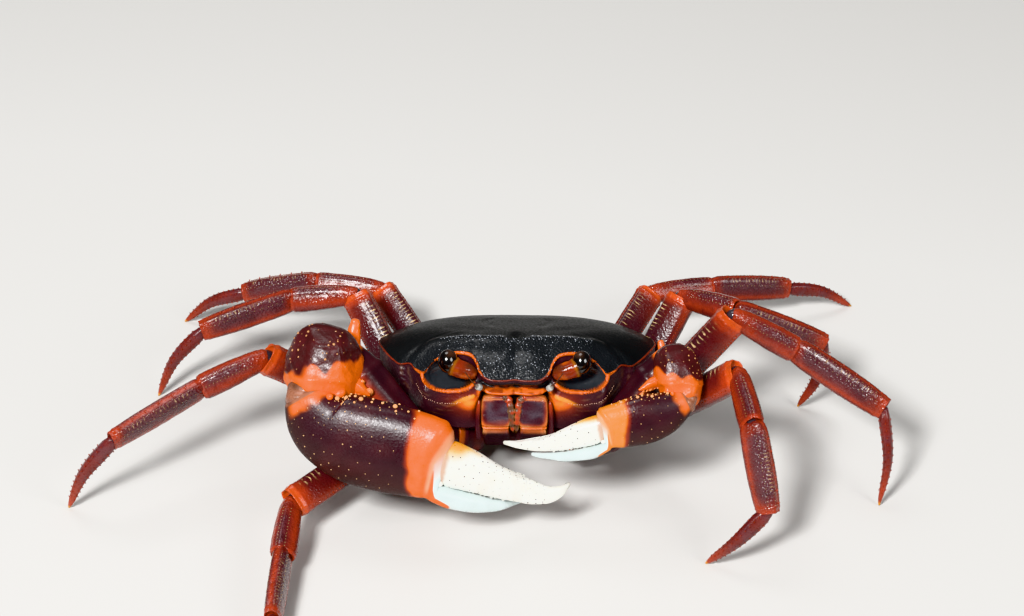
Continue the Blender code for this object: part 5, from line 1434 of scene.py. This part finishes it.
def makeUnderside():
    shape = undersideShape
    above = bodyOut(np.array([0.0, 0.0, 1.0]))
    table = np.array(shape["sternum"])
    middle = (table[:, 2] + table[:, 3]) / 2
    line = inBody(np.stack([0 * middle, table[:, 0], middle], 1))
    knots = (table[0, 0] - table[:, 0]) / (table[0, 0] - table[-1, 0])
    rows = [(k, (r[2] - r[3]) / 2, (r[2] - r[3]) / 2, r[1] * 2) for k, r in zip(knots, table)]

    def seamsAt(grid):
        place = toBody(grid)
        side = np.abs(place[..., 0])
        lines = 0
        for inner, outer in shape["seams"]:
            seam = bump(inner + (outer - inner) * side / 10.0, 0.20, place[..., 1])
            lines = np.maximum(lines, seam * step(2.4, 3.4, side))
        return lines, place[..., 1], side

    def relief(t, a, grid):
        lines, f, side = seamsAt(grid)
        under = step(175, 190, a)
        swell = np.cos(f * 2 * math.pi / 4.1) * step(3, 6, side)
        lift = -0.30 * lines * under + 0.20 * under * swell
        lift -= 0.35 * bump(0, 2.4, side) * under
        return lift + 0.05 * fuzz(grid, 0.9, 2)

    def painter(t, a, grid):
        lines, f, side = seamsAt(grid)
        cloud = fuzz(grid, 2.4, 3)
        paint = coats(
            tint["maroon"] * 1.3,
            (tint["mauve"] * 1.3, step(-0.3, 0.8, cloud)),
            (tint["rust"], step(6.5, 9.5, side + cloud) * 0.8),
            (tint["cream"] * 0.6, step(0.35, 0.8, lines) * 0.6))
        return paint, finishOf(grid, 0.42, 0.9)

    sternum = limbTube("sternum", line, above, rows, around=150, along=170, knots=knots, relief=relief,
                       painter=painter, startSize=0.7, endSize=0.7, corners=(0.55, 0.6, 0.6))
    parts = [sternum["piece"]]

    def coxaPainter(t, a, grid):
        cloud = fuzz(grid, 1.6, 4)
        paint = coats(
            tint["maroon"] * 1.2,
            (tint["rust"], step(-0.2, 0.8, cloud) * 0.6),
            (tint["orange"] * 0.9, step(0.82, 0.94, t + 0.02 * cloud) * 0.8))
        return paint, finishOf(grid, 0.38, 0.9)

    def base(end, along, number, front):
        height, thick = shape["coxa"][number]
        start = end - along * shape["coxaLength"]
        rows = girthRows([(t, g, g, g) for t, g in ((0, .8), (.5, 1.0), (.85, 1.05), (1, .92))],
                         height, thick)
        collar = limbTube("coxa", [start, (start + end) / 2, end - along * 0.15], above, rows,
                          around=56, along=50, painter=coxaPainter, flip=front, end=mouthEnd, endSize=0.9,
                          relief=lambda t, a, g: (0.14 * bump(0.90, 0.05, t) - 0.16 * bump(0.78, 0.03, t)
                                                  + 0.06 * fuzz(g, 1.0, 2)))
        skin = limbTube("skin", [end - along * 1.2, end - along * 0.3, end + along * 0.5], above,
                        girthRows([(t, .78, .78, .78) for t in (0, .5, 1)], height, thick),
                        around=32, along=16, painter=steady(tint["skin"] * 1.5, 0.25, 0.3), endSize=0.5)
        return [collar["piece"], skin["piece"]]

    for word, front in (("l", 1), ("r", -1)):
        for number in (2, 3, 4, 5):
            hip = jointBetween("thorax", "leg_%s%d_merus" % (word, number))
            parts += base(hip, outwardWay(front, number), number, front)
        hand = clawShape["Left" if word == "l" else "Right"]
        coxa, ischium = [onFloor(hand[key], front) for key in ("coxa", "ischium")]
        parts += base(coxa, unit(ischium - coxa), 1, front)
    settle(parts, "breastPlate", bodyShell, ["thorax"])

    table = np.array(shape["abdomen"])
    line = inBody(np.stack([0 * table[:, 0], table[:, 0], table[:, 2]], 1))
    run = np.concatenate([[0], np.cumsum(np.linalg.norm(np.diff(line, axis=0), axis=1))])
    knots = run / run[-1]
    thick = shape["abdomenThick"] / 2
    rows = [(k, thick, thick * 1.25, r[1] * 2) for k, r in zip(knots, table)]

    def ringMask(t):
        return sum(bump(share, 0.007, t) for share in shape["rings"])

    def abdomenRelief(t, a, grid):
        under = step(175, 190, a)
        swell = sum(bump(share + 0.06, 0.05, t) for share in shape["rings"])
        return -0.26 * ringMask(t) * under + 0.10 * under * swell + 0.04 * fuzz(grid, 0.8, 5)

    def abdomenPainter(t, a, grid):
        cloud = fuzz(grid, 1.8, 6)
        paint = coats(
            tint["maroon"] * 1.1,
            (tint["mauve"] * 1.1, step(-0.3, 0.7, cloud)),
            (tint["rust"], ridges(a, 0, 180, 22) * 0.9),
            (tint["cream"] * 0.55, step(0.3, 0.8, ringMask(t)) * 0.7))
        return paint, finishOf(grid, 0.40, 0.9)

    apron = limbTube("apron", line, above, rows, around=72, along=200, knots=knots, relief=abdomenRelief,
                     painter=abdomenPainter, startSize=0.9, endSize=0.6, corners=(0.6, 0.7, 0.7))
    fringe = []
    for target in (2, 178):
        points, out = onTube(apron, np.linspace(0.05, 0.95, 60), target)
        fringe.append(stampCopies("fringe", hairStamp, points, out + above * -0.3, (0.03, 0.03, 0.55),
                                  tint["amber"] * 0.35))
    settle([apron["piece"]] + fringe, "abdomenFlap", bodyShell, ["abdomen"])


makeUnderside()
print("underside ready")

# Floor, light and camera
studio = {"floor": 1.6, "floorTint": (0.62, 0.61, 0.59), "skyLight": 0.17, "lampAim": (0.0, 0.0, 0.01),
          # place and size in metres, power in watts
          "lamps": {"keyLamp": ((-0.16, -0.36, 0.42), 0.12, 5.0),
                    "fillLamp": ((0.40, -0.30, 0.34), 0.25, 1.5),
                    "topLamp": ((-0.15, 0.25, 0.60), 0.30, 1.2)}}
deselectAll()
bpy.ops.mesh.primitive_plane_add(size=studio["floor"])
floorSheet = bpy.context.object
floorSheet.name = "studioFloor"
floorPaint = bpy.data.materials.new("studioFloor")
floorPaint.use_nodes = True
floorPaint.node_tree.nodes["Principled BSDF"].inputs["Base Color"].default_value = (*studio["floorTint"], 1.0)
floorPaint.node_tree.nodes["Principled BSDF"].inputs["Roughness"].default_value = 0.7
floorSheet.data.materials.append(floorPaint)

cameraSpot = {"turn": 1.8, "rise": 36.0, "roll": -0.5, "distance": 420.0, "focus": 2856.0,
              "aim": (0.0, 0.0, 12.0), "right": 5.49, "down": 49.48, "width": 1024, "sensor": 36.0}


# The photo's viewpoint; right and down are where the aimed point lies from the picture's middle
def placeCamera():
    spot = cameraSpot
    turn, rise = math.radians(spot["turn"]), math.radians(spot["rise"])
    back = Vector((math.sin(turn) * math.cos(rise), -math.cos(turn) * math.cos(rise), math.sin(rise)))
    right = Vector((math.cos(turn), math.sin(turn), 0.0))
    frameTurn = Matrix((right, back.cross(right), back)).transposed().to_4x4()
    frameTurn = frameTurn @ Matrix.Rotation(math.radians(spot["roll"]), 4, "Z")
    frameTurn = frameTurn @ Matrix.Rotation(math.atan(spot["down"] / spot["focus"]), 4, "X")
    frameTurn = frameTurn @ Matrix.Rotation(math.atan(spot["right"] / spot["focus"]), 4, "Y")
    aim = Vector(onFloor(spot["aim"]))
    bpy.ops.object.camera_add()
    camera = bpy.context.object
    camera.name = "photoCamera"
    camera.matrix_world = Matrix.Translation((aim + back * spot["distance"]) * mm) @ frameTurn
    camera.data.sensor_width = spot["sensor"]
    camera.data.lens = spot["focus"] / spot["width"] * spot["sensor"]
    camera.data.clip_start = 0.01
    bpy.context.scene.camera = camera


def addLamp(name, spot, target, size, power):
    bpy.ops.object.light_add(type="AREA", location=spot)
    lamp = bpy.context.object
    lamp.name = name
    lamp.rotation_euler = (Vector(target) - Vector(spot)).to_track_quat("-Z", "Y").to_euler()
    lamp.data.size = size
    lamp.data.energy = power


placeCamera()
for lampName, (lampSpot, lampSize, lampPower) in studio["lamps"].items():
    addLamp(lampName, lampSpot, studio["lampAim"], lampSize, lampPower)
world = bpy.data.worlds.new("studioWorld")
world.use_nodes = True
world.node_tree.nodes["Background"].inputs["Color"].default_value = (1.0, 1.0, 1.0, 1.0)
world.node_tree.nodes["Background"].inputs["Strength"].default_value = studio["skyLight"]
bpy.context.scene.world = world
bpy.context.scene.view_settings.view_transform = "Khronos PBR Neutral"
print("studio ready")
